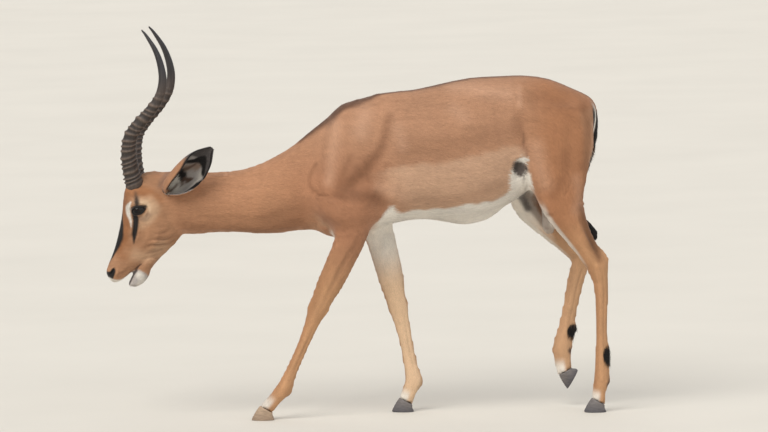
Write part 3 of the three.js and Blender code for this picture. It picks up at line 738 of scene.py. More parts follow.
FACE_PATCHES = (
    Patch(Tint.RICH, ((-706, 640), (-712, 600), (-706, 560), (-712, 520), (-728, 480)), on_head, 13,
          18, strength=0.8),
    Patch(Tint.FACE, ((-690, 640), (-650, 632), (-620, 610)), on_head, 16, 20),
    Patch(Tint.DUN, ((-662, 545), (-640, 560), (-622, 590), (-636, 612)), on_face, 13, 22, strength=0.6),
    Patch(Tint.DUN, ((-690, 462), (-660, 452), (-630, 462), (-606, 482)), on_face, 16, 26, strength=0.6),
    Patch(Tint.RICH, ((-742, 470), (-716, 455), (-700, 470), (-706, 500)), on_face, 11, 18, strength=0.4),
    Patch(Tint.WHITE, ((-690, 606), (-698, 592), (-698, 574), (-693, 558), (-691, 538)), on_face,
          (2, 7, 6.5, 4, 1), 6, strength=0.95),
    Patch(Tint.DUN, ((-668, 609), (-648, 606), (-632, 594), (-632, 578), (-646, 562)), on_face, 12, 20),
    Patch(Tint.PALE, ((-666, 606), (-650, 604), (-639, 594), (-638, 582)), on_face, (3, 6, 6, 3), 10,
          strength=0.5),
    # between horn and ear: dark hair, with painted shadow of the ear
    Patch(Tint.DARK_GREY, ((-612, 648), (-604, 664), (-592, 682)), off_ears, (5, 8, 4), 14, strength=0.45),
    Patch(Tint.POUCH, ((-664, 562), (-650, 560), (-642, 572)), on_face, 7, 12, strength=0.6),
    Patch(Tint.UMBER, ((-676, 632), (-672, 606)), on_face, (3, 6, 7), 12, strength=0.8),
    Patch(Tint.BLACK, ((-675, 620), (-672, 600)), on_face, (2, 5, 6), 9, strength=0.85),
    Patch(Tint.BLACK, ((-690, 590), (-674, 598), (-648, 598), (-645, 592), (-654, 577), (-668, 571),
                       (-682, 574)), on_face, 0.0, 4),
    Patch(Tint.BLACK, ((-682, 578), (-677, 560), (-679, 538), (-684, 514), (-686, 490)), on_face,
          (7, 8.5, 8.5, 7, 1), 5),
    Patch(Tint.BLACK, ((0, 580), (0, 566), (0, 540), (0, 510), (0, 480), (0, 450), (0, 436)), on_bridge,
          (6, 18, 26, 28, 25, 17, 8), 6, View.FACE),
    Patch(Tint.BLACK, NOSE, on_head, 0.0, 4),
    Patch(Tint.WHITE, ((-758, 394), (-746, 387), (-735, 384), (-724, 385), (-710, 392), (-697, 402)),
          on_head, (3, 5, 6, 6), 6),
    Patch(Tint.GREY, ((-696, 410), (-675, 415), (-655, 402), (-652, 385), (-664, 366), (-690, 360),
                      (-712, 366), (-705, 388)), on_head, 0.0, 7),
    Patch(Tint.WHITE, ((-676, 402), (-668, 388), (-674, 374)), on_head, 9, 14, strength=0.8),
    Patch(Tint.DARK_GREY, ((-683, 414), (-693, 402), (-701, 386), (-708, 372)), on_head, 3.5, 4),
    Patch(Tint.UMBER, ((-668, 432), (-676, 426), (-686, 415)), on_face, (1, 2, 2.5), 3, strength=0.9),
)
EAR_PATCHES = (
    Patch(Tint.DARK_GREY, ((66, -110), (72, 110), (110, 110), (110, -110)), on_ear, 0.0, 14, View.EAR),
    Patch(Tint.BLACK, ((86, -110), (86, 110), (110, 110), (110, -110)), on_ear, 0.0, 14, View.EAR),
    Patch(Tint.GREY, ((-5, -120), (72, -120), (72, 120), (-5, 120)), in_ear, 0.0, 12, View.EAR),
    Patch(Tint.WHITE, ((2, -60), (14, -10), (26, 20)), in_ear, 16, 22, View.EAR, 0.8),
    Patch(Tint.WHITE, ((44, -70), (56, -76), (62, -60)), in_ear, 9, 16, View.EAR, 0.7),
    Patch(Tint.POUCH, ((40, 30), (50, 6), (60, -6), (64, -26)), in_ear, 9, 16, View.EAR, 0.85),
    Patch(Tint.UMBER, ((44, 10), (52, 2), (63, -6)), in_ear, (5, 4, 3), 6, View.EAR, 0.8),
    Patch(Tint.BLACK, ((32, -22), (35, -8), (38, 14), (41, 24)), in_ear, (6, 8, 6, 2), 6, View.EAR),
    Patch(Tint.UMBER, ((35, -26), (37, -38), (42, -44)), in_ear, (4, 7, 3), 6, View.EAR),
    Patch(Tint.UMBER, ((24, -34), (29, -22), (34, -18)), in_ear, 4, 6, View.EAR, 0.8),
    Patch(Tint.UMBER, ((5, -30), (12, -24), (17, -18)), in_ear, 5, 6, View.EAR, 0.8),
    Patch(Tint.DARK_GREY, ((73, 120), (73, 0), (69, -60), (66, -120), (110, -120), (110, 120)), in_ear,
          0.0, 6, View.EAR),
    Patch(Tint.BLACK, ((46, 92), (54, 44), (63, 14), (72, 2), (76, -16), (73, -44), (66, -62), (64,
          -84)), in_ear, (3, 4, 5, 8, 8, 7, 6, 3), 5, View.EAR),
    Patch(Tint.BLACK, ((33, -88), (41, -86), (50, -98)), in_ear, (9, 12, 9), 6, View.EAR),
    Patch(Tint.BLACK, ((14, 99), (40, 99), (62, 98), (84, 92), (98, 60)), on_either_ear, (2, 4, 5, 6, 8), 4,
          View.EAR),
    Patch(Tint.BLACK, ((66, -98), (84, -94), (98, -60)), on_either_ear, (6, 7, 8), 5, View.EAR),
)


@dataclass
class Markings:
    """The coat's colours, with painted shade and highlights, laid over each other from the ground colour up.
    """

    mottle: float = 0.075
    # how far down each side the dark hair of the back reaches, by x
    ridge: tuple[Vec2, ...] = ((-240, 0.1), (-200, 0.2), (-110, 0.23), (-50, 0.13), (20, 0.02), (560, -0.02))

    def paint(self, sites: Sites) -> Array:
        """Give the linear colour of the coat at each place.

        Args:
            sites: The places.

        Returns:
            One row of red, green and blue for each.
        """
        colour = self._ground(sites)
        colour = self._limbs(sites, colour)
        colour = self._rear(sites, colour)
        for patch in BODY_PATCHES + FACE_PATCHES + EAR_PATCHES:
            colour = blend(colour, patch.tint, patch.share(sites))
        # painted shade in the narrow grooves and a painted highlight on the narrow ridges
        folds = sum(stroke.lift(sites) for stroke in STROKES if stroke.half < 9)
        colour = colour * (1 + 0.06 * np.clip(folds, -5, 2))[:, None]
        along = np.where(sites.limb[:, None] > 0.5, (1, 1, 0.3), (0.3, 1, 1)) * sites.at
        fine = 0.5 - 0.25 * sites.limb
        broad = waves(along, 45, 3) * 0.45 + waves(along, 15, 4) * 0.35 + waves(along, 4.5, 6) * fine
        return colour * (1 + self.mottle * broad[:, None])

    def wet(self, sites: Sites) -> Array:
        """Say how bare and moist the skin is at each place, 0.3 to 0.7."""
        nose = within(sites.at[:, [0, 2]], curved(NOSE, closed=True))
        return 0.3 + 0.4 * fall(nose, -2, 3) * (sites.head > 0.5)

    def _ground(self, sites: Sites) -> Array:
        """Paint the saddle, neck, flank band and belly."""
        x, y, z = sites.at.T
        ragged = waves(sites.at, 22, 5) * 3
        colour = np.tile(Tint.SADDLE, (len(x), 1))
        colour = blend(colour, Tint.SHOULDER, ramp(-x, -60, 60) * ramp(-z, -800, -640))
        colour = blend(colour, Tint.HAUNCH, ramp(x, 340, 470))
        colour = blend(colour, Tint.NECK, ramp(-x, 150, 330))
        colour = blend(colour, Tint.CHEEK, sites.head)
        dark = np.interp(x, *np.transpose(self.ridge))
        level = sites.out[:, 2] / np.maximum(np.hypot(sites.out[:, 1], sites.out[:, 2]), 0.2)
        upper = ramp(level, 0.93 - dark, 1.03 - 0.6 * dark) * on_trunk(sites) * ramp(x, -250, -222)
        colour = blend(colour, Tint.BACK_HAIR_AND_CREASE_SHADE, 0.95 * upper)
        side = np.stack([x, z + ragged], 1)
        band = within(side, np.vstack([curved(FLANK_TOP), [(392, 400), (-60, 400)], FLANK_TOP[:1]]))
        faded = ramp(x + 0.5 * (z - 640), -50, 70)
        colour = blend(colour, Tint.FLANK, fall(band, -10, 10) * on_trunk(sites) * faded)
        white = within(side, np.vstack([curved(BELLY_TOP), [(478, 300), (-62, 300)], BELLY_TOP[:1]]))
        belly = fall(white, -4, 4) * ramp(x, -50, -10)
        low = ramp(-sites.out[:, 2], 0.35, 0.7) * fall(np.abs(y), 55, 80)
        colour = blend(colour, Tint.DUN, low * on_trunk(sites) * 0.7 * ramp(x, -260, -100))
        low = np.maximum(belly, low * ramp(x, -60, 0))
        return blend(colour, Tint.WHITE, low * off_head(sites) * (1 - sites.tail))

    def _limbs(self, sites: Sites, colour: Array) -> Array:
        """Paint the legs: tan, paler inside and on the pasterns, with the black heel tufts."""
        limb, joint, hind = sites.limb, sites.joint, sites.hind
        fore = 1 - hind
        start = np.array([leg.free_from for leg in LEGS])[sites.leg]
        tan = limb * ramp(joint - start, -0.1, 0.9)
        colour = blend(colour, Tint.LEG, tan * (1 - sites.tail))
        colour = blend(colour, Tint.LEG_DARK, tan * ramp(sites.ahead, 0.3, 0.9) * 0.5)
        inner = limb * ramp(-sites.apart + 0.3 * hind * ramp(sites.ahead, 0.2, 0.7), 0.0, 0.5)
        inner = inner * (1 - sites.tail) * (1 - fore * ramp(sites.off_bone, 52, 70))
        top = np.where(hind > 0, fall(joint, 1.6, 2.6), fall(joint, 1.1, 1.8))
        front = np.where(hind > 0, ramp(sites.ahead, 0.0, 0.7), 1.0)
        colour = blend(colour, Tint.WHITE, inner * top * front)
        colour = blend(colour, Tint.PALE, inner * (1 - top) * (0.7 - 0.5 * hind))
        line = 0.75 * ramp(sites.ahead, 0.84, 0.98) * ramp(joint, 1.6, 1.9) * fall(joint, 2.5, 3.1)
        colour = blend(colour, Tint.WHITE, line * hind * fall(sites.off_bone, 64, 74))
        last = np.where(hind > 0, 5.0, 3.0)
        pale = limb * ramp(joint - last, 0.3, 0.8) * ramp(sites.ahead, -0.5, 0.3)
        colour = blend(colour, Tint.WHITE, pale * 0.9)
        behind = (sites.turn - 180) / 78
        tuft = np.hypot((joint - GLAND) / 0.115, behind)
        colour = blend(colour, Tint.BLACK, fall(tuft, 0.85, 1.05) * hind * limb)
        heel = np.hypot((joint - last - 0.12) / 0.2, (sites.turn - 180) / 50)
        return blend(colour, Tint.UMBER, fall(heel, 0.5, 1.1) * limb * (0.95 * hind + 0.2 * fore))

    def _rear(self, sites: Sites, colour: Array) -> Array:
        """Paint the pale rump, its two black lines with a faint painted highlight outside them, the tail and
        the scrotum.
        """
        x, y, z = sites.at.T
        gap = np.abs(y)
        facing = sites.out[:, 0]
        rump = ramp(facing, 0.3, 0.7) * ramp(x, 480, 530) * ramp(z, 520, 600) * fall(z, 830, 860)
        edge = np.interp(z, (520, 640, 760, 840), (44, 54, 52, 34))
        colour = blend(colour, Tint.WHITE, rump * fall(gap - edge, -5, 5))
        # a faint painted highlight on the brown coat just outside the black lines
        strip = ramp(facing, 0.2, 0.5) * ramp(x, 500, 550) * ramp(z, 640, 720) * fall(z, 820, 850)
        colour = blend(colour, Tint.PALE, strip * 0.1 * ramp(gap - edge, -5, 5))
        line = bell((gap - edge) / 10) * ramp(facing, 0.2, 0.5) * ramp(x, 500, 550) * ramp(z, 610, 670)
        colour = blend(colour, Tint.BLACK, np.clip(line * 2.2, 0, 1) * fall(z, 825, 850))
        colour = blend(colour, Tint.HAUNCH, sites.tail)
        colour = blend(colour, Tint.WHITE, sites.tail * ramp(-facing, 0.2, 0.6) * ramp(sites.dock, 0.6, 1.4))
        thin = ramp(sites.dock, 5.4, 6.0)
        behind = np.where(sites.dock > 6.7, 0.7 * facing + 0.7 * sites.out[:, 2], facing)
        stripe = ramp(behind, 0.7 * thin - 0.3, 0.9 * thin) * ramp(sites.dock, 0.2, 0.9)
        colour = blend(colour, Tint.BLACK, sites.tail * np.maximum(stripe, ramp(sites.dock, 7.3, 7.7)))
        pouch = np.hypot(np.hypot((x - 454) / 32, y / 32), (z - 556) / 84)
        pouch = fall(pouch, 0.9, 1.05) * (gap < 32)
        colour = blend(colour, Tint.WHITE, pouch * 0.9)
        colour = blend(colour, Tint.POUCH, pouch * 0.55 * ramp(-z, -520, -496))
        return blend(colour, Tint.POUCH, pouch * 0.5 * fall(gap, 1.0, 4.0))


# ---------------------------------------------------------------- mesh helpers
def choose(*pieces: bpy.types.Object) -> None:
    """Select these objects alone and make the first one active."""
    bpy.ops.object.select_all(action="DESELECT")
    for piece in pieces:
        piece.select_set(True)
    bpy.context.view_layer.objects.active = pieces[0]


def read(items: bpy.types.bpy_prop_collection, key: str, width: int = 1, kind: type = np.float32) -> Array:
    """Read one property of many things at once.

    Args:
        items: The points, edges, corners or faces.
        key: Blender's name for the property.
        width: How many numbers each has.
        kind: What kind of numbers.

    Returns:
        One row for each thing.
    """
    flat = np.empty(len(items) * width, kind)
    items.foreach_get(key, flat)
    return flat.reshape(-1, width) if width > 1 else flat


@contextmanager
def editing(*pieces: bpy.types.Object, select: str = "SELECT") -> Iterator[None]:
    """Keep pieces in edit mode, with everything selected or nothing."""
    choose(*pieces)
    bpy.ops.object.mode_set(mode="EDIT")
    bpy.ops.mesh.select_all(action=select)
    yield
    bpy.ops.object.mode_set(mode="OBJECT")


def points_of(mesh: bpy.types.Mesh) -> Array:
    """Read a mesh's points, one row each."""
    return read(mesh.vertices, "co", 3).astype(float)


def move_points(mesh: bpy.types.Mesh, points: Array) -> None:
    """Put a mesh's points at new places."""
    mesh.vertices.foreach_set("co", points.astype(np.float32).ravel())
    mesh.update()


def normals_of(mesh: bpy.types.Mesh) -> Array:
    """Read the smooth outward direction at each point."""
    return read(mesh.vertices, "normal", 3).astype(float)


def edges_of(mesh: bpy.types.Mesh) -> Array:
    """Read the two points of each edge."""
    return read(mesh.edges, "vertices", 2, np.int32)


def new_mesh(name: str, points: Array, faces: Array) -> bpy.types.Object:
    """Make an object from points and faces with equally many corners.

    Args:
        name: The piece's name.
        points: Its points in packed metres.
        faces: The corner numbers, one row for each face.

    Returns:
        The new object, at the origin.
    """
    count, corners = faces.shape
    mesh = bpy.data.meshes.new(name)
    mesh.vertices.add(len(points))
    mesh.vertices.foreach_set("co", points.astype(np.float32).ravel())
    mesh.loops.add(count * corners)
    mesh.loops.foreach_set("vertex_index", faces.astype(np.int32).ravel())
    mesh.polygons.add(count)
    mesh.polygons.foreach_set("loop_start", np.arange(0, count * corners, corners, dtype=np.int32))
    mesh.update(calc_edges=True)
    piece = bpy.data.objects.new(name, mesh)
    bpy.context.scene.collection.objects.link(piece)
    return piece


def store(mesh: bpy.types.Mesh, name: str, values: Array) -> None:
    """Keep a number, a direction or a colour for each point under a name."""
    width = 1 if values.ndim == 1 else values.shape[1]
    kind, key = {1: ("FLOAT", "value"), 3: ("FLOAT_VECTOR", "vector"), 4: ("FLOAT_COLOR", "color")}[width]
    layer = mesh.attributes.get(name) or mesh.attributes.new(name, kind, "POINT")
    layer.data.foreach_set(key, values.astype(np.float32).ravel())


def tint(piece: bpy.types.Object, colour: Array) -> None:
    """Paint a piece, with one row of red, green and blue for each point."""
    store(piece.data, "coat", np.hstack([np.clip(colour, 0, 1), np.ones((len(colour), 1))]))


def finished(piece: bpy.types.Object, material: bpy.types.Material, slot: str,
             *nodes: str) -> bpy.types.Object:
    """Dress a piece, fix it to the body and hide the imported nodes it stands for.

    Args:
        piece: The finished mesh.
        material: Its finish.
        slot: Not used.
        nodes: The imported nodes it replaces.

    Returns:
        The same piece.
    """
    piece.data.materials.clear()
    piece.data.materials.append(material)
    choose(piece)
    bpy.ops.object.shade_smooth()
    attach(piece, "root")
    if nodes:
        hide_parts(*nodes)
    log.info("%s: %d faces", piece.name, len(piece.data.polygons))
    return piece


def swept(line: Array, sections: Array) -> tuple[Array, Array]:
    """Skin a run of closed sections into a tube with open ends.

    Args:
        line: The middle of each section.
        sections: Offsets from it, one ring of points for each section.

    Returns:
        The points, and the faces as rows of four corners.
    """
    count, around = sections.shape[:2]
    points = (line[:, None, :] + sections).reshape(-1, 3)
    step, turn = np.meshgrid(np.arange(count - 1), np.arange(around), indexing="ij")
    here, ahead = step * around + turn, step * around + (turn + 1) % around
    quads = np.stack([here, ahead, ahead + around, here + around], 2).reshape(-1, 4)
    return points, quads


def close_ends(piece: bpy.types.Object) -> None:
    """Fill the open ends of a piece and turn its faces outwards."""
    with editing(piece, select="DESELECT"):
        bpy.ops.mesh.select_mode(type="EDGE")
        bpy.ops.mesh.select_non_manifold(use_wire=False)
        bpy.ops.mesh.fill()
        bpy.ops.mesh.select_all(action="SELECT")
        bpy.ops.mesh.normals_make_consistent(inside=False)


# ---------------------------------------------------------------- the skin
@dataclass(frozen=True)
class Stroke:
    """A soft ridge, or with a negative depth a groove, drawn along a line."""

    depth: float
    half: float
    path: tuple[Vec2, ...]
    mask: Mask
    view: View = View.SIDE

    def lift(self, sites: Sites) -> Array:
        """Say how far this stroke raises each place, in millimetres."""
        line = curved(self.path)
        share = self.mask(sites)
        lift = np.zeros(len(share))
        plane = seen(sites, self.view)
        near = ((plane > line.min(0) - self.half) & (plane < line.max(0) + self.half)).all(1)
        near = np.flatnonzero(near & (share > 0))
        gap, along = lane(plane[near], line)
        ends = np.sin(np.pi * np.clip(along / (len(line) - 1), 0.04, 0.96)) ** 0.6
        lift[near] = share[near] * self.depth * bell(gap / self.half) * ends
        return lift


def strokes(mask: Mask, view: View, rows: Sequence[tuple]) -> list[Stroke]:
    """Make the strokes of one region from rows of depth, half width and path."""
    return [Stroke(*row, mask, view) for row in rows]


def both_sides(depth: float, half: float, path: Sequence[Vec2]) -> list[tuple]:
    """Give a leg's stroke on its outer side, and the same on its inner side."""
    return [(depth, half, path), (depth, half, tuple((joint, 120 - turn) for joint, turn in path))]


STROKES = (
    # neck and shoulder
    *strokes(on_side, View.SIDE, (
        (-2.6, 54, ((-186, 828), (-198, 746), (-206, 665), (-192, 610))),
        (-2.2, 10, ((-204, 628), (-165, 618), (-120, 616))),
        (-3.2, 18, ((-196, 566), (-180, 535), (-158, 506))),
        (2.8, 56, ((-120, 830), (-112, 760), (-136, 690), (-150, 640))),
        (-3.8, 50, ((8, 838), (-12, 748), (-46, 690), (-96, 646), (-124, 622))),
        (3.0, 30, ((-166, 590), (-130, 560), (-104, 524))),
        (3.4, 34, ((-40, 660), (-64, 610), (-88, 552))),
        (-3.2, 26, ((-540, 560), (-450, 552), (-342, 548), (-262, 566))),
        (-3.0, 38, ((-500, 640), (-400, 640), (-300, 690))),
    )),
    *strokes(on_side_or_limb, View.SIDE, (
        (-3.6, 34, ((24, 690), (2, 630), (-22, 585), (-50, 512))),
    )),
    # hip bone, hollow of the flank, thigh and hamstring
    *strokes(on_side, View.SIDE, (
        (-3.6, 60, ((316, 872), (324, 820), (338, 765))),
        (3.5, 34, ((402, 896), (392, 850), (394, 800))),
        (-2.6, 30, ((384, 830), (378, 780), (376, 726))),
        (2.6, 7, ((352, 709), (368, 712), (390, 708))),
        (-15, 17, ((367, 700), (366, 682), (364, 660))),
        (-1.2, 5, ((420, 612), (446, 626), (466, 650))),
        (-1.2, 5, ((486, 600), (500, 622), (510, 650))),
        (-1.0, 5, ((430, 640), (452, 652))),
    )),
    *strokes(on_side_or_limb, View.SIDE, (
        (-5, 12, ((380, 660), (390, 628), (404, 596))),
        (3.5, 18, ((410, 700), (416, 650), (428, 600), (446, 556))),
        (-4.0, 34, ((506, 850), (512, 770), (516, 690), (520, 620))),
    )),
    *strokes(in_pouch, View.SIDE, (
        (5.0, 26, ((428, 514), (454, 508), (480, 514))),
        (-3.0, 16, ((430, 566), (454, 566), (478, 566))),
    )),
    # forelegs: muscles of the forearm, knee, tendons, fetlock and pastern
    *strokes(on_foreleg, View.LEG, (
        (-2.6, 8, ((96, 42), (120, 38), (150, 35), (188, 34))),
        (2.0, 12, ((104, 14), (130, 12), (165, 10))),
        (2.0, 10, ((100, 62), (130, 60), (172, 60))),
        (2.6, 10, ((190, 0), (198, 0), (207, 0))),
        (3.0, 8, ((188, 56), (194, 57), (200, 56))),
        (-1.8, 8, ((203, 60), (212, 60), (224, 60))),
        *both_sides(-2.3, 6, ((212, 40), (250, 39), (288, 38))),
        (1.6, 9, ((294, 28), (302, 30))),
        (3.0, 10, ((292, 60), (300, 60), (309, 60))),
        (-2.4, 9, ((318, 60), (350, 60), (380, 60))),
    )),
    # hind legs: shin, tendon above the hock, its point and knuckles, cannon, fetlock and pastern
    *strokes(on_hindleg, View.LEG, (
        *both_sides(-5, 8, ((214, 44), (250, 46), (276, 46), (292, 44))),
        (3.0, 10, ((205, 24), (235, 20), (270, 18))),
        (3.0, 8, ((284, 60), (293, 60), (300, 60))),
        (-2.2, 9, ((294, 0), (304, 0), (318, 0))),
        (2.0, 8, ((298, 30), (308, 28), (320, 30))),
        *both_sides(-2.3, 6, ((335, 40), (400, 38), (486, 38))),
        (7.0, 11, ((456, 60), (471, 60), (487, 60))),
        (1.6, 9, ((494, 28), (502, 30))),
        (3.0, 10, ((492, 60), (500, 60), (509, 60))),
        (-2.4, 9, ((520, 60), (550, 60), (580, 60))),
    )),
    # cheek, jaw, face crest and the folds of the cheek
    *strokes(on_face, View.SIDE, (
        (2.5, 16, ((-700, 520), (-672, 548), (-640, 572), (-612, 596))),
        (-3, 12, ((-712, 500), (-690, 508), (-668, 520))),
        (-2.0, 14, ((-690, 480), (-664, 500), (-646, 540))),
        (-3.4, 5, ((-645, 500), (-619, 503), (-597, 500), (-575, 510))),
        (2.4, 5, ((-643, 491), (-620, 495), (-596, 493), (-576, 502))),
        (-3.6, 5, ((-653, 481), (-636, 487), (-614, 486), (-592, 489), (-574, 500))),
        (2.4, 5, ((-652, 472), (-632, 478), (-612, 479), (-596, 482))),
        (-3.4, 5, ((-657, 462), (-637, 465), (-620, 470), (-602, 478))),
        (-2.8, 5, ((-664, 446), (-643, 451), (-625, 458))),
        (-2.6, 5, ((-628, 520), (-606, 519), (-586, 526))),
        (-2.4, 5, ((-618, 538), (-598, 536))),
        (-2.2, 8, ((-646, 398), (-634, 424), (-612, 446), (-580, 470))),
    )),
    # brow, mouth line, lips and nose
    *strokes(on_face, View.SIDE, (
        (3.0, 10, ((-692, 596), (-676, 604), (-656, 606), (-642, 598))),
        (-2.0, 7, ((-696, 606), (-700, 588), (-696, 566))),
        (-2.2, 7, ((-682, 560), (-681, 538), (-686, 512))),
        (1.8, 7, ((-670, 556), (-668, 534), (-674, 512))),
        (-2.0, 6, ((-642, 590), (-642, 574), (-652, 562))),
        (-3.2, 4.0, ((-668, 434), (-680, 424), (-690, 412))),
        (1.8, 6, ((-744, 390), (-728, 390), (-712, 401), (-696, 414))),
        (-1.8, 7, ((-736, 402), (-718, 408), (-700, 424))),
        (2.0, 6, ((-736, 424), (-733, 412), (-739, 400))),
        (-5.5, 4.2, ((-758, 404), (-750, 411), (-743, 420))),
        (1.6, 4, ((-759, 414), (-750, 422), (-740, 426))),
    )),
)


@dataclass
class Lids:
    """The opening between the eyelids, drawn in side view about the eye's centre."""

    ball: float = 19.5
    gap: float = 1.3
    rim: float = 1.1
    crease: float = 1.2
    sink: float = 3.0
    opening: tuple[Vec2, ...] = ((-17.5, -3.0), (-9.5, 4.6), (3.5, 6.4), (16.8, 6.8), (13.0, -1.5),
                                 (5.0, -8.8), (-4.5, -11.6), (-13.0, -9.5))

    def shape(self, sites: Sites, stance: Stance) -> Array:
        """Draw the lids tight over the eyeballs and open them.

        Args:
            sites: The skin's places.
            stance: Where the eyes are.

        Returns:
            The moved places in the straight frame.
        """
        moved = sites.at.copy()
        for side in SIDES.values():
            centre = np.array(stance.eye) * (1, -side, 1)
            spoke = (sites.at - centre) * (1, side, 1)
            far = np.linalg.norm(spoke, axis=1)
            near = np.flatnonzero((far < 40) & (spoke[:, 1] > -3))
            spoke, far = spoke[near], far[near]
            edge = within(spoke[:, [0, 2]], curved(self.opening, closed=True))
            over = self.ball + self.gap + self.rim * bell((edge - 2.2) / 2.6)
            over -= self.crease * bell((edge - 7.0) / 3.2) * ramp(spoke[:, 2], -4, 4)
            tight = fall(edge, 7, 13)
            lid = far + (over - far) * tight
            lid = np.where(edge > 0, np.maximum(lid, over * tight), lid)
            reach = np.where(edge > 0.6, lid, self.ball - self.sink)
            share = ramp(edge, -0.6, 0.6)
            reach = (self.ball - self.sink) * (1 - share) + lid * share
            moved[near] = centre + spoke * (reach / far)[:, None] * (1, side, 1)
        return moved


@dataclass
class Skin:
    """One skin over all the flesh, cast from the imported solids, with the ears on it."""

    frame: dict
    stance: Stance
    body_cell: float = 7.7 * MM
    head_cell: float = 3.4 * MM
    neck_cut: float = -427.0
    swell: float = 0.5 * MM
    reach: float = 14.0 * MM  # how far outside the skin the flesh is looked for
    trunk_rounds: int = 34  # how often the trunk's facets are evened out
    all_rounds: int = 7  # how often the whole skin is, after that
    fill_rounds: int = 40  # how often what the legs lack is evened out
    coat: float = 2.6  # how far the trunk is drawn in under its coat, in millimetres
    limb_less: float = 1.3  # how much less the legs are
    head_less: float = 1.8  # and the head
    lids_reach: float = 30.0  # how far from an eye's centre nothing is drawn in
    ear_rows: int = 46  # rows of points from an ear's root to its tip
    ear_columns: int = 30  # points along each row, on either face of the leaf
    lid: float = 1.6 * MM
    lids: Lids = field(default_factory=Lids)
    eyes: tuple[str, ...] = ("eye_left", "eye_right")

    def __post_init__(self) -> None:
        """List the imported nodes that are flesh."""
        apart = ("eye", "horn", "ear")
        self.flesh = [name for name in sorted(self.frame["nodes"])
                      if not name.startswith(apart) and not name.endswith("claw")]

    def build(self) -> bpy.types.Object:
        """Make the whole skin, sculpted but not painted."""
        skin = self._cast(self.flesh, (), self.body_cell)
        head = self._cast(["head", "lower_jaw", "neck"], self.eyes, self.head_cell)
        cut = (self.neck_cut + self.stance.offset[0]) * MM
        self._keep(skin, cut + 0.6 * self.body_cell, clear_inner=True)
        self._keep(head, cut - 0.6 * self.body_cell, clear_outer=True)
        choose(skin, head)
        bpy.ops.object.join()
        self._bridge(skin)
        self._refine(skin, lambda sites: (sites.limb > 0.5) & (sites.at[:, 0] > -400))
        self._relax(skin)
        self._fill_out(skin)
        self._draw_in(skin)
        near_eye = lambda reach: lambda sites: self.from_eye(sites) < reach
        self._refine(skin, near_eye(33))
        self._refine(skin, near_eye(26))
        self._refine(skin, lambda sites: (sites.at[:, 0] < -690) & (sites.at[:, 2] < 432))
        self._sculpt(skin)
        skin.name = skin.data.name = "skin"
        ears = [self._ear(number) for number in range(len(EARS))]
        store(skin.data, "ear", np.full(len(skin.data.vertices), -1.0))
        choose(skin, *ears)
        bpy.ops.object.join()
        self._unwrap(skin)
        return skin

    def sites(self, piece: bpy.types.Object) -> Sites:
        """Measure all the points of a piece of skin."""
        at = self.stance.straight(points_of(piece.data))
        sites = Sites(at, self.stance.face_back(at, normals_of(piece.data)))
        layer = piece.data.attributes.get("ear")
        if layer:
            ear = read(layer.data, "value")
            for number in range(len(EARS)):
                sites.mark_ear(number, np.round(ear) == number)
        return sites

    def _closed_copy(self, names: Sequence[str], swell: float) -> bpy.types.Object:
        """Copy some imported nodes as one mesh, close it and swell it a little."""
        copies = []
        for name in names:
            mesh = self.frame["nodes"][name].data.copy()
            copies.append(bpy.data.objects.new("cast_" + name, mesh))
            bpy.context.scene.collection.objects.link(copies[-1])
        choose(*copies)
        if len(copies) > 1:
            bpy.ops.object.join()
        with editing(copies[0]):
            bpy.ops.mesh.remove_doubles(threshold=0.01 * MM)
        mesh = copies[0].data
        move_points(mesh, points_of(mesh) + swell * normals_of(mesh))
        return copies[0]

    def _cast(self, names: Sequence[str], eyes: Sequence[str], cell: float) -> bpy.types.Object:
        """Cast one closed skin round some nodes, with the lids' thickness over the eyes."""
        cast = self._closed_copy(names, self.swell)
        if eyes:
            choose(cast, self._closed_copy(eyes, self.lid))
            bpy.ops.object.join()
        remesh = cast.modifiers.new("skin", "REMESH")
        remesh.mode = "VOXEL"
        remesh.voxel_size = cell
        choose(cast)
        bpy.ops.object.modifier_apply(modifier=remesh.name)
        return cast

    def _keep(self, piece: bpy.types.Object, cut: float, **side: bool) -> None:
        """Cut a piece across at one x and clear one side of the cut."""
        with editing(piece):
            bpy.ops.mesh.bisect(plane_co=(cut, 0, 0), plane_no=(1, 0, 0), **side)

    def _bridge(self, piece: bpy.types.Object) -> None:
        """Join the two open ends at the neck."""
        with editing(piece, select="DESELECT"):
            bpy.ops.mesh.select_mode(type="EDGE")
            bpy.ops.mesh.select_non_manifold(use_wire=False, use_multi_face=False,
                                             use_non_contiguous=False, use_verts=False)
            bpy.ops.mesh.bridge_edge_loops()
            bpy.ops.mesh.select_all(action="SELECT")
            bpy.ops.mesh.normals_make_consistent(inside=False)

    def _refine(self, piece: bpy.types.Object, chosen: Callable[[Sites], Array]) -> None:
        """Halve the faces whose points are all chosen."""
        mask = chosen(self.sites(piece))
        mesh = piece.data
        starts = read(mesh.polygons, "loop_start", kind=np.int32)
        whole = np.minimum.reduceat(mask[read(mesh.loops, "vertex_index", kind=np.int32)], starts)
        with editing(piece, select="DESELECT"):
            bpy.ops.mesh.select_mode(type="FACE")
        mesh.polygons.foreach_set("select", whole)
        bpy.ops.object.mode_set(mode="EDIT")
        bpy.ops.mesh.subdivide(number_cuts=1)
        bpy.ops.object.mode_set(mode="OBJECT")

    def from_eye(self, sites: Sites) -> Array:
        """Distance of each place from the centre of the nearer eye."""
        mirrored = sites.at * (1, -1, 1) * np.where(sites.at[:, 1:2] < 0, (1, -1, 1), 1)
        return np.linalg.norm(mirrored - self.stance.eye, axis=1)

    def _relax(self, piece: bpy.types.Object) -> None:
        """Even out the facets of the cast, most on the trunk and least on the face."""
        sites = self.sites(piece)
        points = points_of(piece.data)
        plain = 1 - sites.limb * (1 - sites.head)
        edges = edges_of(piece.data)
        points = relaxed(points, edges, plain * (1 - 0.4 * sites.head), self.trunk_rounds)
        points = relaxed(points, edges, np.ones(len(points)), self.all_rounds)
        move_points(piece.data, points)

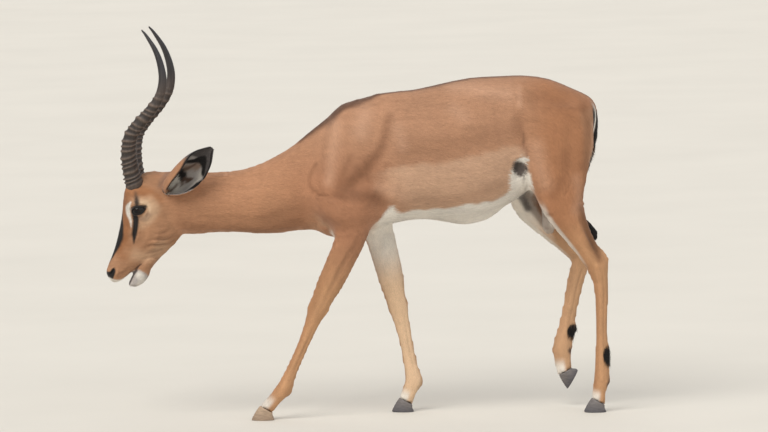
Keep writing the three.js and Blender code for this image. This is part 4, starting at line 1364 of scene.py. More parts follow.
    def _fill_out(self, piece: bpy.types.Object) -> None:
        """Push the legs' skin back out to the flesh, where smoothing has thinned it."""
        flesh = self._closed_copy(self.flesh, 0.0)
        faces = [tuple(face.vertices) for face in flesh.data.polygons]
        tree = BVHTree.FromPolygons(points_of(flesh.data).tolist(), faces)
        bpy.data.objects.remove(flesh)
        sites = self.sites(piece)
        share = sites.limb * (1 - sites.head)
        points, normals = points_of(piece.data), normals_of(piece.data)
        lack = np.zeros(len(points))
        for number in np.flatnonzero(share > 0.02):
            outer = points[number] + self.reach * normals[number]
            found = tree.ray_cast(outer.tolist(), (-normals[number]).tolist(), 1.4 * self.reach)
            if found[0] is not None:
                lack[number] = self.reach - found[3]
        lack = np.tile(np.maximum(lack, 0.0)[:, None], (1, 3))
        even = np.ones(len(lack))
        lack = relaxed(lack, edges_of(piece.data), even, self.fill_rounds, (0.6,))[:, :1]
        move_points(piece.data, points + share[:, None] * lack * normals)

    def _draw_in(self, piece: bpy.types.Object) -> None:
        """Move the skin in by the depth of the coat that lies over it."""
        sites = self.sites(piece)
        depth = self.coat - self.limb_less * sites.limb - self.head_less * sites.head
        depth = np.where(self.from_eye(sites) < self.lids_reach, 0.0, depth)
        move_points(piece.data, points_of(piece.data) - depth[:, None] * MM * normals_of(piece.data))

    def _sculpt(self, piece: bpy.types.Object) -> None:
        """Draw the muscles, folds and lids into the skin."""
        sites = self.sites(piece)
        lift = sum(stroke.lift(sites) for stroke in STROKES)
        move_points(piece.data, points_of(piece.data) + lift[:, None] * MM * normals_of(piece.data))
        sites = self.sites(piece)
        move_points(piece.data, self.stance.packed(self.lids.shape(sites, self.stance)))

    def _ear(self, number: int) -> bpy.types.Object:
        """Roll one ear from a leaf: its back, then its hollow side, row by row."""
        ear = EARS[number]
        root, axis, opens, aside = ear.axes()
        rise = np.linspace(0, 0.995, self.ear_rows)[:, None] ** 0.9
        share = np.linspace(-1, 1, self.ear_columns)
        side = np.concatenate([share, share[::-1] * 0.985])[None, :]
        hollow = np.repeat([0.0, 1.0], len(share))[None, :]
        turn = side * ear.spread(rise + 0 * side, side + 0 * rise)[1]
        radius = ear.spread(rise + 0 * side, turn)[0]
        reach = radius - hollow * np.minimum(ear.thick, 0.6 * radius)
        plain = smooth(ear.radius, rise * (len(ear.radius) - 1))
        turn = np.radians(turn)
        section = aside * (np.sin(turn) * reach)[:, :, None] - opens * (np.cos(turn) * reach)[:, :, None]
        middle = root + axis * rise * ear.length + opens * plain
        middle = middle - (0, 13 * ear.side, 0) * fall(rise, 0.0, 0.09)
        points, quads = swept(middle, section)
        made = new_mesh("leaf", self.stance.packed(points), quads)
        close_ends(made)
        store(made.data, "ear", np.full(len(made.data.vertices), float(number)))
        return made

    def _unwrap(self, piece: bpy.types.Object) -> None:
        """Unwrap the skin by its own shape."""
        while piece.data.uv_layers:
            piece.data.uv_layers.remove(piece.data.uv_layers[0])
        piece.data.uv_layers.new(name="OFBake")
        with editing(piece):
            bpy.ops.uv.smart_project(angle_limit=math.radians(66), island_margin=0.001)


def relaxed(points: Array, edges: Array, weight: Array, rounds: int,
            pulls: Sequence[float] = (0.55, -0.57)) -> Array:
    """Smooth points towards their neighbours, and back again so that the whole doesn't shrink.

    Args:
        points: The points.
        edges: Pairs of neighbours.
        weight: How much each point gives way, 0 to 1.
        rounds: How often.
        pulls: How far towards the neighbours each round goes, step by step.

    Returns:
        The smoothed points.
    """
    here, there = edges.T
    count = len(points)
    degree = np.bincount(here, minlength=count) + np.bincount(there, minlength=count)
    for pull in tuple(pulls) * rounds:
        around = np.stack([np.bincount(here, points[there, axis], count)
                           + np.bincount(there, points[here, axis], count) for axis in range(3)], 1)
        points = points + (pull * weight)[:, None] * (around / degree[:, None] - points)
    return points


# ---------------------------------------------------------------- the coat
@dataclass(frozen=True)
class Lay:
    """A line on the body, the way the hair runs beside it, and how far that is felt."""

    start: Vec3
    end: Vec3
    runs: Vec3
    reach: float


TRUNK_LAY = (
    Lay((-745, 0, 420), (-700, 0, 560), (0.3, 0.0, 1.0), 26),
    Lay((-700, 0, 560), (-690, 0, 640), (0.3, 0.0, 1.0), 30),
    Lay((-730, 30, 400), (-640, 42, 500), (0.75, 0.15, 0.65), 40),
    Lay((-640, 46, 500), (-600, 40, 620), (0.9, 0.1, 0.35), 46),
    Lay((-680, 0, 380), (-590, 0, 480), (0.85, 0.0, 0.5), 26),
    Lay((-600, 0, 600), (-400, 0, 600), (1.0, 0.0, -0.12), 90),
    Lay((-400, 0, 600), (-230, 0, 650), (1.0, 0.0, -0.15), 110),
    Lay((-200, 0, 700), (-60, 0, 860), (1.0, 0.0, 0.3), 60),
    Lay((-130, 80, 800), (-110, 80, 620), (0.55, 0.0, -0.9), 70),
    Lay((0, 0, 880), (480, 0, 920), (1.0, 0.05, -0.1), 60),
    Lay((0, 100, 740), (380, 100, 760), (1.0, 0.0, -0.28), 110),
    Lay((-60, 60, 580), (350, 60, 600), (1.0, 0.0, -0.1), 70),
    Lay((420, 80, 880), (500, 80, 800), (0.8, 0.0, -0.7), 70),
    Lay((470, 80, 760), (490, 80, 620), (0.45, 0.0, -0.95), 80),
    Lay((575, 30, 820), (560, 50, 620), (0.1, 0.15, -1.0), 50),
)


def lie_of(sites: Sites, level: bool = True) -> Array:
    """Say which way the hair runs, flat along the skin.

    Args:
        sites: The places.
        level: Whether the directions are made one long; else they are the shorter, the more
            the hair would run straight into the skin or out of it.

    Returns:
        Directions in the straight frame.
    """
    folded = np.stack([sites.at[:, 0], np.abs(sites.at[:, 1]), sites.at[:, 2]], 1)
    mirror = np.stack([np.ones(len(folded)), np.where(sites.at[:, 1] < 0, -1, 1), np.ones(len(folded))], 1)
    total = np.zeros_like(folded)
    for lay in TRUNK_LAY:
        gap, _ = lane(folded, np.array([lay.start, lay.end], float))
        pull = 1 / (0.05 + (gap / lay.reach) ** 2) ** 2
        total += pull[:, None] * unit(np.array(lay.runs)) * mirror
    total = unit(total)
    for number, leg in enumerate(LEGS):
        bones = unit(np.diff(np.array(leg.joints, float), axis=0))
        here = sites.leg == number
        bone = np.minimum(sites.joint[here].astype(int), len(bones) - 1)
        total[here] = blend(total[here], bones[bone], ramp(sites.limb[here], 0.0, 0.6))
    for number, ear in enumerate(EARS):
        here = sites.ear == number
        total[here] = unit(np.array(ear.tip, float) - np.array(ear.root))
    if level:
        return across(total, sites.out)
    return total - (total * sites.out).sum(1)[:, None] * sites.out


@dataclass
class Nap:
    """How long, wide and close the tufts are, by place, in millimetres."""

    cover: float = 1.3

    def length(self, sites: Sites) -> Array:
        """Length of a tuft at each place."""
        x, y, z = sites.at.T
        size = 14.0 - 6.5 * sites.limb
        size = size + 3.0 * ramp(-sites.out[:, 2], 0.3, 0.8) * on_trunk(sites)
        size = size * (1 - sites.head) + 4.8 * sites.head
        size = size - 1.6 * sites.head * ramp(-x, 690, 740)
        crown = np.hypot(np.hypot((x + 676) / 42, (np.abs(y) - 30) / 40), (z - 640) / 26)
        size = size + 4.0 * bell(crown) * (sites.ear < 0)
        mane = bell(y / 24) * ramp(sites.out[:, 2], 0.2, 0.7) * ramp(x, -330, -230) * fall(x, -60, 40)
        size = size + 12.0 * mane
        size = size + 9.0 * on_gland(sites)
        brush = ramp(sites.dock, 0.5, 1.5) * (1 - 0.8 * ramp(sites.dock, 2.2, 3.6)) * (1 - sites.limb)
        size = size + 14.0 * sites.tail * brush
        inside = np.maximum(12.0 * (1.1 - sites.rise), 4.4)
        size = np.where(sites.ear >= 0, np.where(sites.cup > 0.5, inside, 4.6), size)
        return size * (1 - 0.3 * ramp(sites.joint - 3 - 2 * sites.hind, 0, 0.6) * sites.limb)

    def width(self, length: Array) -> Array:
        """Width of a tuft of this length."""
        return 0.5 + 0.065 * np.minimum(length, 18.0)

    def lift(self, sites: Sites, length: Array) -> Array:
        """How far a tuft's tip stands off the skin."""
        stand = 0.014 + 0.14 * (sites.ear >= 0) * sites.cup + 0.06 * sites.tail + 0.24 * on_gland(sites)
        return 0.15 + stand * length

    def close(self, sites: Sites) -> Array:
        """How many tufts stand on a square millimetre."""
        length = self.length(sites)
        return self.cover * 2 / (length * self.width(length))


@dataclass(frozen=True)
class Field:
    """One piece of the coat: the part of the skin whose tufts it holds."""

    name: str
    holds: Mask


def _lower(leg: int) -> Mask:
    """Mask of the free part of one leg."""
    return lambda sites: (sites.leg == leg) & (sites.limb > 0.5)


FIELDS = (
    Field("coat_ear_left", lambda s: s.ear == 0),
    Field("coat_ear_right", lambda s: s.ear == 1),
    Field("coat_tail", lambda s: s.tail > 0.5),
    Field("coat_head_left", lambda s: (s.head > 0.5) & (s.at[:, 1] < 0)),
    Field("coat_head_right", lambda s: (s.head > 0.5)),
    *(Field("coat_" + leg.name, _lower(number)) for number, leg in enumerate(LEGS)),
    Field("coat_neck", lambda s: s.at[:, 0] < -190),
    Field("coat_shoulder_left", lambda s: (s.at[:, 0] < 60) & (s.at[:, 1] < 0)),
    Field("coat_shoulder_right", lambda s: s.at[:, 0] < 60),
    Field("coat_flank_left", lambda s: (s.at[:, 0] < 330) & (s.at[:, 1] < 0)),
    Field("coat_flank_right", lambda s: s.at[:, 0] < 330),
    Field("coat_haunch_left", lambda s: s.at[:, 1] < 0),
    Field("coat_haunch_right", lambda s: s.at[:, 1] > -1e9),
)


# A tuft's four points are left and right at the root, the top of its ridge, and the tip:
# its faces, the light on each point, and each point's place in its patch of the unwrap
TUFT_FACES = np.array([[0, 2, 3], [2, 1, 3], [0, 3, 1], [0, 1, 2]])
TUFT_SHADES = np.array([0.96, 0.96, 1.0, 1.05])
TUFT_CORNERS = np.array([[-0.5, -0.5], [0.5, -0.5], [0.0, 0.0], [0.0, 0.5]])


@dataclass
class Coat:
    """The fur: thin solid tufts rooted in the skin, lying the way the hair runs."""

    skin: bpy.types.Object
    maker: Skin
    markings: Markings
    nap: Nap = field(default_factory=Nap)
    patch: float = 0.003  # width of a tuft's patch on the unwrap
    sunk: float = 0.12  # how deep a tuft is rooted, in millimetres
    crown: float = 0.35  # how far along a tuft the top of its ridge is
    ridge: float = 0.03  # the ridge's height, as a share of the tuft's width
    sag: float = 0.12  # how much of the tip's sinking the top of the ridge has
    shades: float = 0.085  # how much the tufts differ in lightness
    hues: float = 0.01  # how much they differ in hue
    lashes: float = 20.5  # how far from the eye's centre hair begins, in millimetres
    seed: int = 41

    def __post_init__(self) -> None:
        """Read the skin's triangles, with the unwrap at each of their corners."""
        mesh = self.skin.data
        mesh.calc_loop_triangles()
        self.corners = read(mesh.loop_triangles, "vertices", 3, np.int32)
        loops = read(mesh.loop_triangles, "loops", 3, np.int32)
        self.unwrap = read(mesh.uv_layers["OFBake"].uv, "vector", 2)[loops]
        self.points, self.normals = points_of(mesh), normals_of(mesh)
        self.ear = read(mesh.attributes["ear"].data, "value")

    def _sites(self, places: Array, normals: Array, ear: Array) -> Sites:
        """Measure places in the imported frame."""
        at = self.maker.stance.straight(places)
        sites = Sites(at, self.maker.stance.face_back(at, normals))
        for number in range(len(EARS)):
            sites.mark_ear(number, ear == number)
        return sites

    def build(self, material: bpy.types.Material) -> list[bpy.types.Object]:
        """Grow every field of the coat.

        Args:
            material: The hair's finish.

        Returns:
            The pieces.
        """
        middle = self.points[self.corners].mean(1)
        facing = unit(self.normals[self.corners].mean(1))
        sites = self._sites(middle, facing, self.ear[self.corners[:, 0]])
        edges = self.points[self.corners]
        area = np.linalg.norm(np.cross(edges[:, 1] - edges[:, 0], edges[:, 2] - edges[:, 0]), axis=1) / 2
        draw = np.random.default_rng(self.seed)
        wanted = area / MM**2 * self.nap.close(sites) * self._grows(sites)
        number = (wanted + draw.random(len(wanted))).astype(int)
        left = np.ones(len(number), bool)
        pieces = []
        for part in FIELDS:
            mine = left & np.asarray(part.holds(sites), bool)
            left &= ~mine
            faces = np.repeat(np.flatnonzero(mine), number[mine])
            piece = self._grow(part.name, faces, draw)
            pieces.append(finished(piece, material, "hide"))
        return pieces

    def _grows(self, sites: Sites) -> Array:
        """Keep hair off the eyes, the lids' edges, the nose and the mouth."""
        eye = self.maker.from_eye(sites)
        bare = (eye < self.lashes).astype(float)
        nose = within(sites.at[:, [0, 2]], curved(HAIRLINE, closed=True))
        bare = np.maximum(bare, (nose < 0) * (sites.head > 0.5))
        for number, leg in enumerate(LEGS):
            foot = (sites.leg == number) & (sites.joint > len(leg.joints) - 2)
            bare = np.maximum(bare, foot & (leg.over_hoof(sites.at) < 1.0))
        flat = 1 - np.linalg.norm(lie_of(sites, False), axis=1)
        bare = np.maximum(bare, (sites.tail > 0.5) * (flat > 0.6))
        return 1 - bare

    def _curve(self, corners: Array, lie: Array) -> Array:
        """Say how sharply the skin falls away along the lie of the hair.

        Args:
            corners: The three points of each place's triangle.
            lie: The way the hair runs there.

        Returns:
            The curvature for each millimetre, above zero where the skin bulges.
        """
        start, *ends = (self.points[corners[:, k]] / MM for k in range(3))
        facing, *others = (self.normals[corners[:, k]] for k in range(3))
        one, two = (end - start for end in ends)
        a, b, c = (one * one).sum(1), (one * two).sum(1), (two * two).sum(1)
        p, q = (one * lie).sum(1), (two * lie).sum(1)
        size = np.maximum(a * c - b * b, 1e-6)
        turn = ((c * p - b * q) / size)[:, None] * (others[0] - facing)
        turn = turn + ((a * q - b * p) / size)[:, None] * (others[1] - facing)
        return np.clip((turn * lie).sum(1), 0.0, 0.05)

    def _grow(self, name: str, faces: Array, draw: np.random.Generator) -> bpy.types.Object:
        """Make the tufts rooted in some triangles.

        Args:
            name: The piece's name.
            faces: The triangle of each tuft.
            draw: The source of chance.

        Returns:
            The piece, with colours and unwrap, and shaded as the skin it lies on.
        """
        count = len(faces)
        share = draw.random((count, 2))
        share = np.where(share.sum(1, keepdims=True) > 1, 1 - share, share)
        share = np.hstack([share, 1 - share.sum(1, keepdims=True)])[:, :, None]
        corners = self.corners[faces]
        root = (self.points[corners] * share).sum(1)
        normal = unit((self.normals[corners] * share).sum(1))
        patch = (self.unwrap[faces] * share).sum(1)
        sites = self._sites(root, normal, self.ear[corners[:, 0]])
        length = self.nap.length(sites) * draw.uniform(0.7, 1.25, count)
        width = self.nap.width(length)
        lift = self.nap.lift(sites, length) * draw.uniform(0.5, 1.5, count)
        lie = lie_of(sites)
        drift = waves(sites.at, 70, 8) * 0.05 + draw.normal(0, 0.1, count)
        lie = unit(lie + np.cross(sites.out, lie) * drift[:, None])
        lie = self.maker.stance.face_on(sites.at, lie)
        drop = self._curve(corners, lie) * length**2 / 2
        size = np.stack([length, width, lift, drop], 1)[:, :, None] * MM
        aside = np.cross(normal, lie)
        run, half = lie * size[:, 0], aside * size[:, 1] / 2
        sunk = root - normal * self.sunk * MM
        left, right = sunk + half, sunk - half
        rise = self.crown * size[:, 2] + self.ridge * size[:, 1] - self.sag * size[:, 3]
        crown = root + run * self.crown + normal * rise
        tip = root + run + normal * (size[:, 2] - size[:, 3])
        points = np.stack([left, right, crown, tip], 1).reshape(-1, 3)
        faces = (np.arange(count)[:, None, None] * 4 + TUFT_FACES).reshape(-1, 3)
        piece = new_mesh(name, points, faces)
        colour = self.markings.paint(sites)
        uneven = draw.normal(0, self.shades, (count, 1)) + draw.normal(0, self.hues, (count, 3))
        colour = (colour * (1 + uneven))[:, None, :] * TUFT_SHADES[None, :, None]
        tint(piece, colour.reshape(-1, 3))
        facing = np.stack([normal + 0.3 * aside, normal - 0.3 * aside, normal, normal + 0.1 * lie], 1)
        piece.data.shade_smooth()
        piece.data.normals_split_custom_set_from_vertices(unit(facing).reshape(-1, 3))
        patch = np.clip(patch[:, None, :] + TUFT_CORNERS * self.patch, 0.0, 1.0)
        patch = patch[:, TUFT_FACES.ravel(), :]
        layer = piece.data.uv_layers.new(name="OFBake")
        layer.uv.foreach_set("vector", patch.astype(np.float32).ravel())
        return piece


# ---------------------------------------------------------------- finishes
class Finish:
    """A node material under construction."""

    def __init__(self, name: str) -> None:
        """Start an empty material with a shader and an output."""
        self.material = bpy.data.materials.new(name)
        self.material.use_nodes = True
        self.tree = self.material.node_tree
        self.tree.nodes.clear()
        self.shader = self.node("ShaderNodeBsdfPrincipled")
        self.node("ShaderNodeOutputMaterial", {"Surface": self.shader.outputs[0]})

    def node(self, kind: str, inputs: dict | None = None, **settings: object) -> bpy.types.Node:
        """Add a node.

        Args:
            kind: Blender's name for it.
            inputs: Sockets by name or number, each with a value or another node's output.
            settings: The node's own settings.

        Returns:
            The node.
        """
        made = self.tree.nodes.new(kind)
        for name, value in settings.items():
            setattr(made, name, value)
        for socket, value in (inputs or {}).items():
            if isinstance(value, bpy.types.NodeSocket):
                self.tree.links.new(value, made.inputs[socket])
            else:
                made.inputs[socket].default_value = value
        return made

    def set(self, **values: object) -> None:
        """Set or link the shader's own sockets; _ stands for a space."""
        for name, value in values.items():
            socket = self.shader.inputs[name.replace("_", " ")]
            if isinstance(value, bpy.types.NodeSocket):
                self.tree.links.new(value, socket)
            else:
                socket.default_value = value

    def noise(self, scale: float, detail: float = 3.0, stretch: Vec3 = (1, 1, 1)) -> bpy.types.NodeSocket:
        """Noise on the object's own coordinates, scale blotches to the metre."""
        place = self.node("ShaderNodeTexCoord").outputs["Object"]
        turned = self.node("ShaderNodeMapping", {"Vector": place, "Scale": stretch}).outputs[0]
        inputs = {"Vector": turned, "Scale": scale, "Detail": detail}
        return self.node("ShaderNodeTexNoise", inputs).outputs[0]

    def spread(self, value: bpy.types.NodeSocket, low: float, high: float) -> bpy.types.NodeSocket:
        """Map noise around one half onto a range."""
        return self.node("ShaderNodeMapRange", {0: value, 1: 0.3, 2: 0.7, 3: low, 4: high}).outputs[0]

    def toned(self, colour: bpy.types.NodeSocket, value: bpy.types.NodeSocket) -> bpy.types.NodeSocket:
        """Multiply a colour's brightness."""
        return self.node("ShaderNodeHueSaturation", {"Color": colour, "Value": value}).outputs[0]

    def bump(self, height: bpy.types.NodeSocket, depth: float, strength: float = 1.0,
             normal: bpy.types.NodeSocket | None = None) -> bpy.types.NodeSocket:
        """Turn a height of 0 to 1 into relief of this depth in metres."""
        inputs = {"Height": height, "Distance": depth, "Strength": strength}
        if normal:
            inputs["Normal"] = normal
        return self.node("ShaderNodeBump", inputs).outputs[0]

    def attribute(self, name: str, output: str) -> bpy.types.NodeSocket:
        """Read a named attribute of the piece."""
        return self.node("ShaderNodeAttribute", attribute_name=name).outputs[output]


def skin_finish() -> bpy.types.Material:
    """Short hair drawn on the skin: painted colour with a fine streaky relief, wet on the nose."""
    made = Finish("hide")
    fine = made.noise(900, 4, (0.35, 1.0, 1.0))
    broad = made.noise(60, 3)
    colour = made.toned(made.attribute("coat", "Color"), made.spread(fine, 0.84, 1.14))
    made.set(Base_Color=made.toned(colour, made.spread(broad, 0.94, 1.05)))
    made.set(Normal=made.bump(fine, 0.0006, 0.7), IOR=1.45)
    made.set(Roughness=made.spread(made.attribute("wet", "Fac"), 0.74, 0.36))
    made.set(Sheen_Weight=0.12, Sheen_Roughness=0.5, Specular_IOR_Level=0.3)
    return made.material


def hair_finish() -> bpy.types.Material:
    """The tufts: the same colours, a little livelier."""
    made = Finish("coat")
    fine = made.noise(1400, 2)
    made.set(Base_Color=made.toned(made.attribute("coat", "Color"), made.spread(fine, 0.9, 1.1)))
    made.set(Roughness=0.7, Specular_IOR_Level=0.3, Sheen_Weight=0.15, Sheen_Roughness=0.45, IOR=1.45)
    return made.material


def horn_finish() -> bpy.types.Material:
    """Horn: dark grey-brown, with painted highlights on the ring crests and painted shade between them,
    polished towards the tip.
    """
    made = Finish("horn")
    streak = made.noise(180, 5, (1.0, 1.0, 0.12))
    colour = made.toned(made.attribute("coat", "Color"), made.spread(streak, 0.72, 1.25))
    made.set(Base_Color=colour, Normal=made.bump(streak, 0.0008, 0.8), Specular_IOR_Level=0.45)
    made.set(Roughness=made.spread(made.attribute("wet", "Fac"), 0.62, 0.3), IOR=1.54)
    return made.material


def hoof_finish() -> bpy.types.Material:
    """Hoof wall: grey horn with growth lines, darker towards the ground."""
    made = Finish("hoof")
    lines = made.noise(140, 4, (0.5, 0.5, 3.0))
    colour = made.toned(made.attribute("coat", "Color"), made.spread(lines, 0.75, 1.2))
    made.set(Base_Color=colour, Normal=made.bump(lines, 0.0007, 0.8), IOR=1.5)
    made.set(Roughness=0.55, Specular_IOR_Level=0.4)
    return made.material


def eye_finish() -> bpy.types.Material:
    """The eye: a nearly black iris under a wet, clear surface."""
    made = Finish("eye")
    rays = made.noise(700, 3)
    made.set(Base_Color=made.toned(made.attribute("coat", "Color"), made.spread(rays, 0.7, 1.3)))
    made.set(Roughness=0.25, Specular_IOR_Level=0.12, Coat_Weight=0.4, Coat_Roughness=0.03, IOR=1.35)
    return made.material


# ---------------------------------------------------------------- eyes, horns and hooves
@dataclass
class Eye:
    """One eyeball: a wide dark iris with a level pupil, behind a bulging cornea."""

    side: int
    stance: Stance
    radius: float = 19.5
    iris: float = 0.62  # radians from the gaze
    bulge: float = 1.1
    gaze: Vec3 = (-0.3, 0.95, -0.22)

    def build(self) -> bpy.types.Object:
        """Make the eyeball, with its colours."""
        centre = np.array(self.stance.eye) * (1, -self.side, 1)
        bpy.ops.mesh.primitive_uv_sphere_add(segments=72, ring_count=48, radius=1.0)
        ball = bpy.context.object
        ball.name = ball.data.name = "eyeball_" + NAMES[self.side]
        spoke = unit(points_of(ball.data))
        gaze = unit(np.array(self.gaze) * (1, self.side, 1))
        level = unit(np.cross(gaze, (0, 0, 1)))
        rise = np.cross(level, gaze)
        off = np.arccos(np.clip(spoke @ gaze, -1, 1))
        reach = self.radius + self.bulge * bell(off / (self.iris * 1.25))
        move_points(ball.data, self.stance.packed(centre + spoke * reach[:, None]))
        colour = np.tile(hue(30, 25, 23), (len(off), 1))
        colour = blend(colour, hue(24, 15, 10), fall(off, self.iris - 0.06, self.iris + 0.04))
        pupil = np.hypot(spoke @ level / 0.34, spoke @ rise / 0.2)
        colour = blend(colour, hue(6, 6, 8), fall(pupil, 0.85, 1.1))
        tint(ball, colour)
        return ball


@dataclass
class Horn:
    """One horn: a lyre-shaped spike with oblique rings on its lower two thirds."""

    side: int
    stance: Stance
    line: tuple[Vec3, ...] = (
        (-676, 30, 634), (-684, 37, 672), (-690, 50, 712), (-690, 64, 752), (-681, 77, 790),
        (-655, 88, 826), (-622, 95, 862), (-597, 99, 900), (-588, 99, 940), (-592, 95, 980),
        (-606, 89, 1022), (-630, 83, 1062), (-646, 80, 1082))
    base: float = 23.8
    start: float = 0.004
    rings: int = 21
    ringed: float = 0.66
    steps: int = 460
    around: int = 56

    def build(self) -> bpy.types.Object:
        """Sweep the horn, ring by ring."""
        line = curved(np.array(self.line, float) * (1, self.side, 1), steps=40)
        run = np.concatenate([[0], np.cumsum(np.linalg.norm(np.diff(line, axis=0), axis=1))])
        share = self.start + (0.995 - self.start) * np.linspace(0, 1, self.steps) ** 0.97
        middle = np.stack([np.interp(share * run[-1], run, line[:, axis]) for axis in range(3)], 1)
        along = unit(np.gradient(middle, axis=0))
        fore = unit(np.cross(along, (0, self.side, 0))) * self.side
        flank = np.cross(fore, along)
        turn = np.linspace(0, math.tau, self.around, endpoint=False)
        taper = self.base * (1 - share) ** 0.55 * (1 - 0.28 * share) + 0.8
        taper = taper * (0.72 + 0.28 * ramp(share, 0.0, 0.035))
        level = 0.45 + 0.55 * ramp(share, 0.03, 0.2)
        slant = (taper * level)[:, None] * (-0.5 * np.cos(turn) - 0.12 * np.sin(turn * 2))
        place = np.clip(share[:, None] + 0 * turn, 0, 1)
        beat = self.rings * (place / self.ringed) ** 0.86
        weight = ramp(self.ringed - place, 0.0, 0.12) * ramp(place, 0.03, 0.06)
        beat = beat + 0.16 * np.sin(beat * 1.9) + 0.05 * np.sin(turn * 2 + beat * 1.3)
        uneven = 1 + 0.3 * np.sin(beat * 1.7 + 1.1) + 0.2 * np.sin(turn * 3 + beat * 2.1)
        crest = (0.5 + 0.5 * np.cos(beat * math.tau)) ** 2.0
        front = 0.55 + 0.45 * ramp(np.cos(turn), -0.6, 0.6)
        ridge = weight * front * uneven * (crest - 0.35) * 0.17
        flute = 0.012 * np.sin(turn * 9 + 4 * place) * fall(place, 0.6, 0.8)
        size = taper[:, None] * (1 + ridge + flute)
        section = (fore[:, None, :] * (np.cos(turn) * size * 1.04)[:, :, None]
                   + flank[:, None, :] * (np.sin(turn) * size * 0.9)[:, :, None]
                   + along[:, None, :] * slant[:, :, None])
        points, quads = swept(middle, section)
        horn = new_mesh("horn_sheath_" + NAMES[self.side], self.stance.packed(points), quads)
        close_ends(horn)
        colour = np.tile(hue(74, 62, 55), (crest.size, 1))
        # painted highlight on the ring crests, most in front, and painted shade in the grooves between them
        colour = blend(colour, hue(116, 99, 87), (crest * weight * front).ravel() * 0.7)
        colour = blend(colour, hue(40, 35, 33), ((1 - crest) * weight).ravel() * 0.75)
        colour = blend(colour, hue(44, 41, 42), ramp(place, self.ringed - 0.08, self.ringed + 0.1).ravel())
        wet = ramp(place, self.ringed - 0.1, self.ringed + 0.15).ravel()
        tint(horn, colour)
        store(horn.data, "wet", 0.3 + 0.4 * wet)
        return horn


# the colours of a hoof at its coronet and at its toe
GREY_HOOF = hue(112, 106, 104), hue(84, 81, 84)
DUSTY_HOOF = hue(170, 146, 122), hue(150, 128, 108)


@dataclass
class Hoof:
    """One claw of a cloven hoof, hanging from the coronet with its toe ahead."""

    name: str
    at: Vec3
    side: int  # which side of its foot the claw is on
    dip: float  # how far the toe hangs, in radians
    stance: Stance
    tone: Array
    toe: Array
    high: float = 30.0
    half: float = 10.6
    gap: float = 1.0
    rings: int = 26
    around: int = 44

    def build(self) -> bpy.types.Object:
        """Sweep the claw from its coronet down to its sole."""
        rise = np.linspace(0, 1, self.rings)[:, None]
        turn = np.linspace(0, math.tau, self.around, endpoint=False)[None, :]
        ahead, aside = -np.cos(turn), np.sin(turn)
        collar = 1 - 0.12 * fall(rise, 0.0, 0.14) ** 2
        front = (15.5 + 24.5 * rise - 1.0 * rise * (1 - rise)) * collar
        rear = (17.5 + 3.0 * rise - 2.0 * bell((rise - 0.35) / 0.4)) * collar
        edge = 1 - 0.055 * ramp(rise, 0.93, 1.0) ** 2
        growth = 1 + 0.006 * np.sin(rise * 34 + ahead * 2) * ramp(rise, 0.05, 0.2)
        x = np.where(ahead < 0, ahead * front, ahead * rear) * edge * growth
        slim = np.where(ahead < 0, 1 - 0.72 * np.abs(ahead) ** 2.6, 1 - 0.1 * ahead**2)
        wall = np.sign(aside) * np.abs(aside) ** 0.85
        outer = aside * self.side > 0
        inner = 0.92 - 0.25 * (ahead < 0) * np.abs(ahead) ** 2
        width = (self.half + 1.4 * rise) * collar * np.where(outer, 1.0, inner)
        y = self.side * (self.half + self.gap) + wall * width * slim * edge * growth
        y = y - self.side * 3.5 * np.where(ahead < 0, np.abs(ahead) ** 2, 0.0) * rise
        top = -x * math.tan(CORONET)
        z = top + (-self.high - top) * rise
        z = np.maximum(z, -self.high) + 1.2 * bell((1 - rise) / 0.08) * ramp(-ahead, 0.6, 1.0) * 0.4
        cos, sin = math.cos(self.dip), math.sin(self.dip)
        section = np.stack([x * cos - z * sin, y, x * sin + z * cos], 2)
        points, quads = swept(np.tile(self.at, (self.rings, 1)), section)
        claw = new_mesh(self.name, self.stance.packed(points), quads)
        close_ends(claw)
        low = ramp(rise + 0 * turn, 0.1, 1.0).ravel()
        colour = blend(np.tile(self.tone, (len(low), 1)), self.toe, low)
        tint(claw, colour)
        return claw


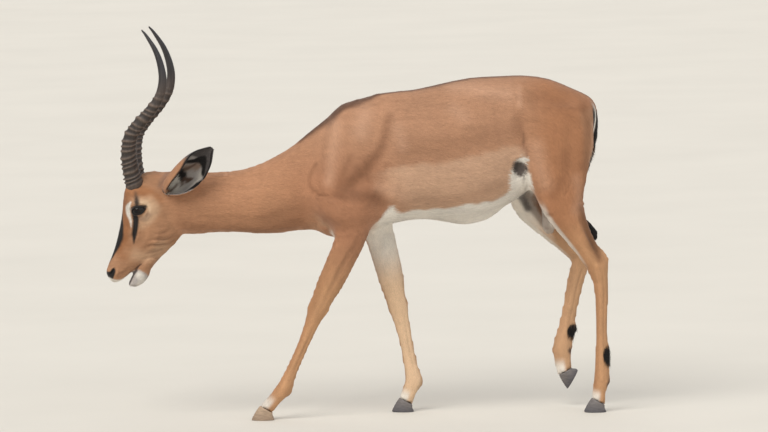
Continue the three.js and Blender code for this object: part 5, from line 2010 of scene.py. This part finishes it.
# ---------------------------------------------------------------- room and camera
@dataclass
class Studio:
    """A plain pale floor, soft light and the camera."""

    stance: Stance
    span: float = 2.112  # width seen at the animal
    azimuth: float = -3.0
    elevation: float = 5.0
    roll: float = 1.2
    distance: float = 18.0
    aim: Vec3 = (0.0, 0.0, 549.77)
    floor: float = 70.0

    def build(self) -> None:
        """Set up the camera, the floor, the lamps and the world."""
        self._camera()
        self._floor()
        self._sun("key", (-0.6, -0.85, 1.0), 45, 2.3, (1.0, 0.97, 0.92))
        self._sun("fill", (0.9, -0.8, 0.6), 80, 0.65, (0.94, 0.97, 1.0))
        self._sun("rim", (0.2, 1.0, 0.8), 70, 0.7, (1.0, 0.98, 0.95))
        bpy.context.scene.view_settings.view_transform = "Standard"
        self._room()

    def _room(self) -> None:
        """Light the room evenly, and show it paler to the camera than it shines."""
        world = bpy.context.scene.world or bpy.data.worlds.new("room")
        bpy.context.scene.world = world
        world.use_nodes = True
        nodes, links = world.node_tree.nodes, world.node_tree.links
        nodes.clear()
        mix = nodes.new("ShaderNodeMixShader")
        seen_by = nodes.new("ShaderNodeLightPath").outputs["Is Camera Ray"]
        links.new(seen_by, mix.inputs[0])
        for socket, strength in ((1, 0.5), (2, 1.0)):
            glow = nodes.new("ShaderNodeBackground")
            glow.inputs["Color"].default_value = (0.9, 0.92, 0.95, 1)
            glow.inputs["Strength"].default_value = strength
            links.new(glow.outputs[0], mix.inputs[socket])
        links.new(mix.outputs[0], nodes.new("ShaderNodeOutputWorld").inputs["Surface"])

    def _camera(self) -> None:
        """Place a long lens at the animal's left side, a little above and rolled."""
        a, e, r = (math.radians(v) for v in (self.azimuth, self.elevation, self.roll))
        right = Vector((math.cos(a), math.sin(a), 0))
        up = Vector((-math.sin(a) * math.sin(e), math.cos(a) * math.sin(e), math.cos(e)))
        back = Vector((math.sin(a) * math.cos(e), -math.cos(a) * math.cos(e), math.sin(e)))
        rolled = right * math.cos(r) - up * math.sin(r), right * math.sin(r) + up * math.cos(r)
        data = bpy.data.cameras.new("camera")
        data.sensor_width = 36.0
        data.lens = data.sensor_width * self.distance / self.span
        data.clip_end = 200
        camera = bpy.data.objects.new("camera", data)
        bpy.context.scene.collection.objects.link(camera)
        turn = Matrix((rolled[0], rolled[1], back)).transposed().to_4x4()
        place = Vector(self.stance.packed(np.array([self.aim]))[0]) + back * self.distance
        camera.matrix_world = Matrix.Translation(place) @ turn
        bpy.context.scene.camera = camera

    def _floor(self) -> None:
        """Lay the floor, level with the hooves."""
        bpy.ops.mesh.primitive_circle_add(vertices=96, radius=self.floor, fill_type="NGON")
        floor = bpy.context.object
        floor.name = "floor"
        made = Finish("floor")
        paint = made.node("ShaderNodeRGB").outputs[0]
        paint.default_value = (0.68, 0.645, 0.58, 1)
        made.set(Base_Color=made.toned(paint, made.spread(made.noise(1.5), 0.98, 1.02)))
        made.set(Roughness=0.9, Specular_IOR_Level=0.1)
        floor.data.materials.append(made.material)
        floor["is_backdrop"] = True

    def _sun(self, name: str, way: Vec3, width: float, power: float, tint: Vec3) -> None:
        """Shine one broad, distant lamp on the animal from some way off.

        Args:
            name: The lamp's name.
            way: Where it stands, as a direction from the animal.
            width: How broad it looks, in degrees.
            power: Its strength.
            tint: Its colour.
        """
        data = bpy.data.lights.new(name, "SUN")
        data.energy, data.color, data.angle = power, tint, math.radians(width)
        lamp = bpy.data.objects.new(name, data)
        lamp.rotation_euler = Vector(way).to_track_quat("Z", "Y").to_euler()
        bpy.context.scene.collection.objects.link(lamp)


# ---------------------------------------------------------------- the whole animal
def main() -> None:
    """Build the impala piece by piece."""
    logging.basicConfig(level=logging.INFO, format="%(name)s: %(message)s")
    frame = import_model()
    cad = [list(corner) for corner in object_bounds()]
    bpy.ops.object.select_all(action="DESELECT")
    stance = Stance()
    Studio(stance).build()
    maker = Skin(frame, stance)
    markings = Markings()
    skin = maker.build()
    sites = maker.sites(skin)
    tint(skin, markings.paint(sites))
    store(skin.data, "wet", markings.wet(sites))
    ears = [ear.name for ear in EARS]
    Coat(skin, maker, markings).build(hair_finish())
    finished(skin, skin_finish(), "hide", *maker.flesh, *ears)
    for name, side in SIDES.items():
        finished(Eye(side, stance).build(), eye_finish(), "eye", "eye_" + name)
        finished(Horn(side, stance).build(), horn_finish(), "horn", "horn_" + name)
    for leg in LEGS:
        tones = DUSTY_HOOF if leg.name == "foreleg_left" else GREY_HOOF
        for place, side in (("outer", leg.side), ("inner", -leg.side)):
            name = f"{leg.name}_{place}_"
            hoof = Hoof(name + "hoof", leg.joints[-1], side, leg.dip, stance, *tones)
            finished(hoof.build(), hoof_finish(), "hoof", name + "claw")
    dressed = [list(corner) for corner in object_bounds()]
    dumps({"cad": cad, "visual": dressed})


if __name__ == "__main__":
    main()
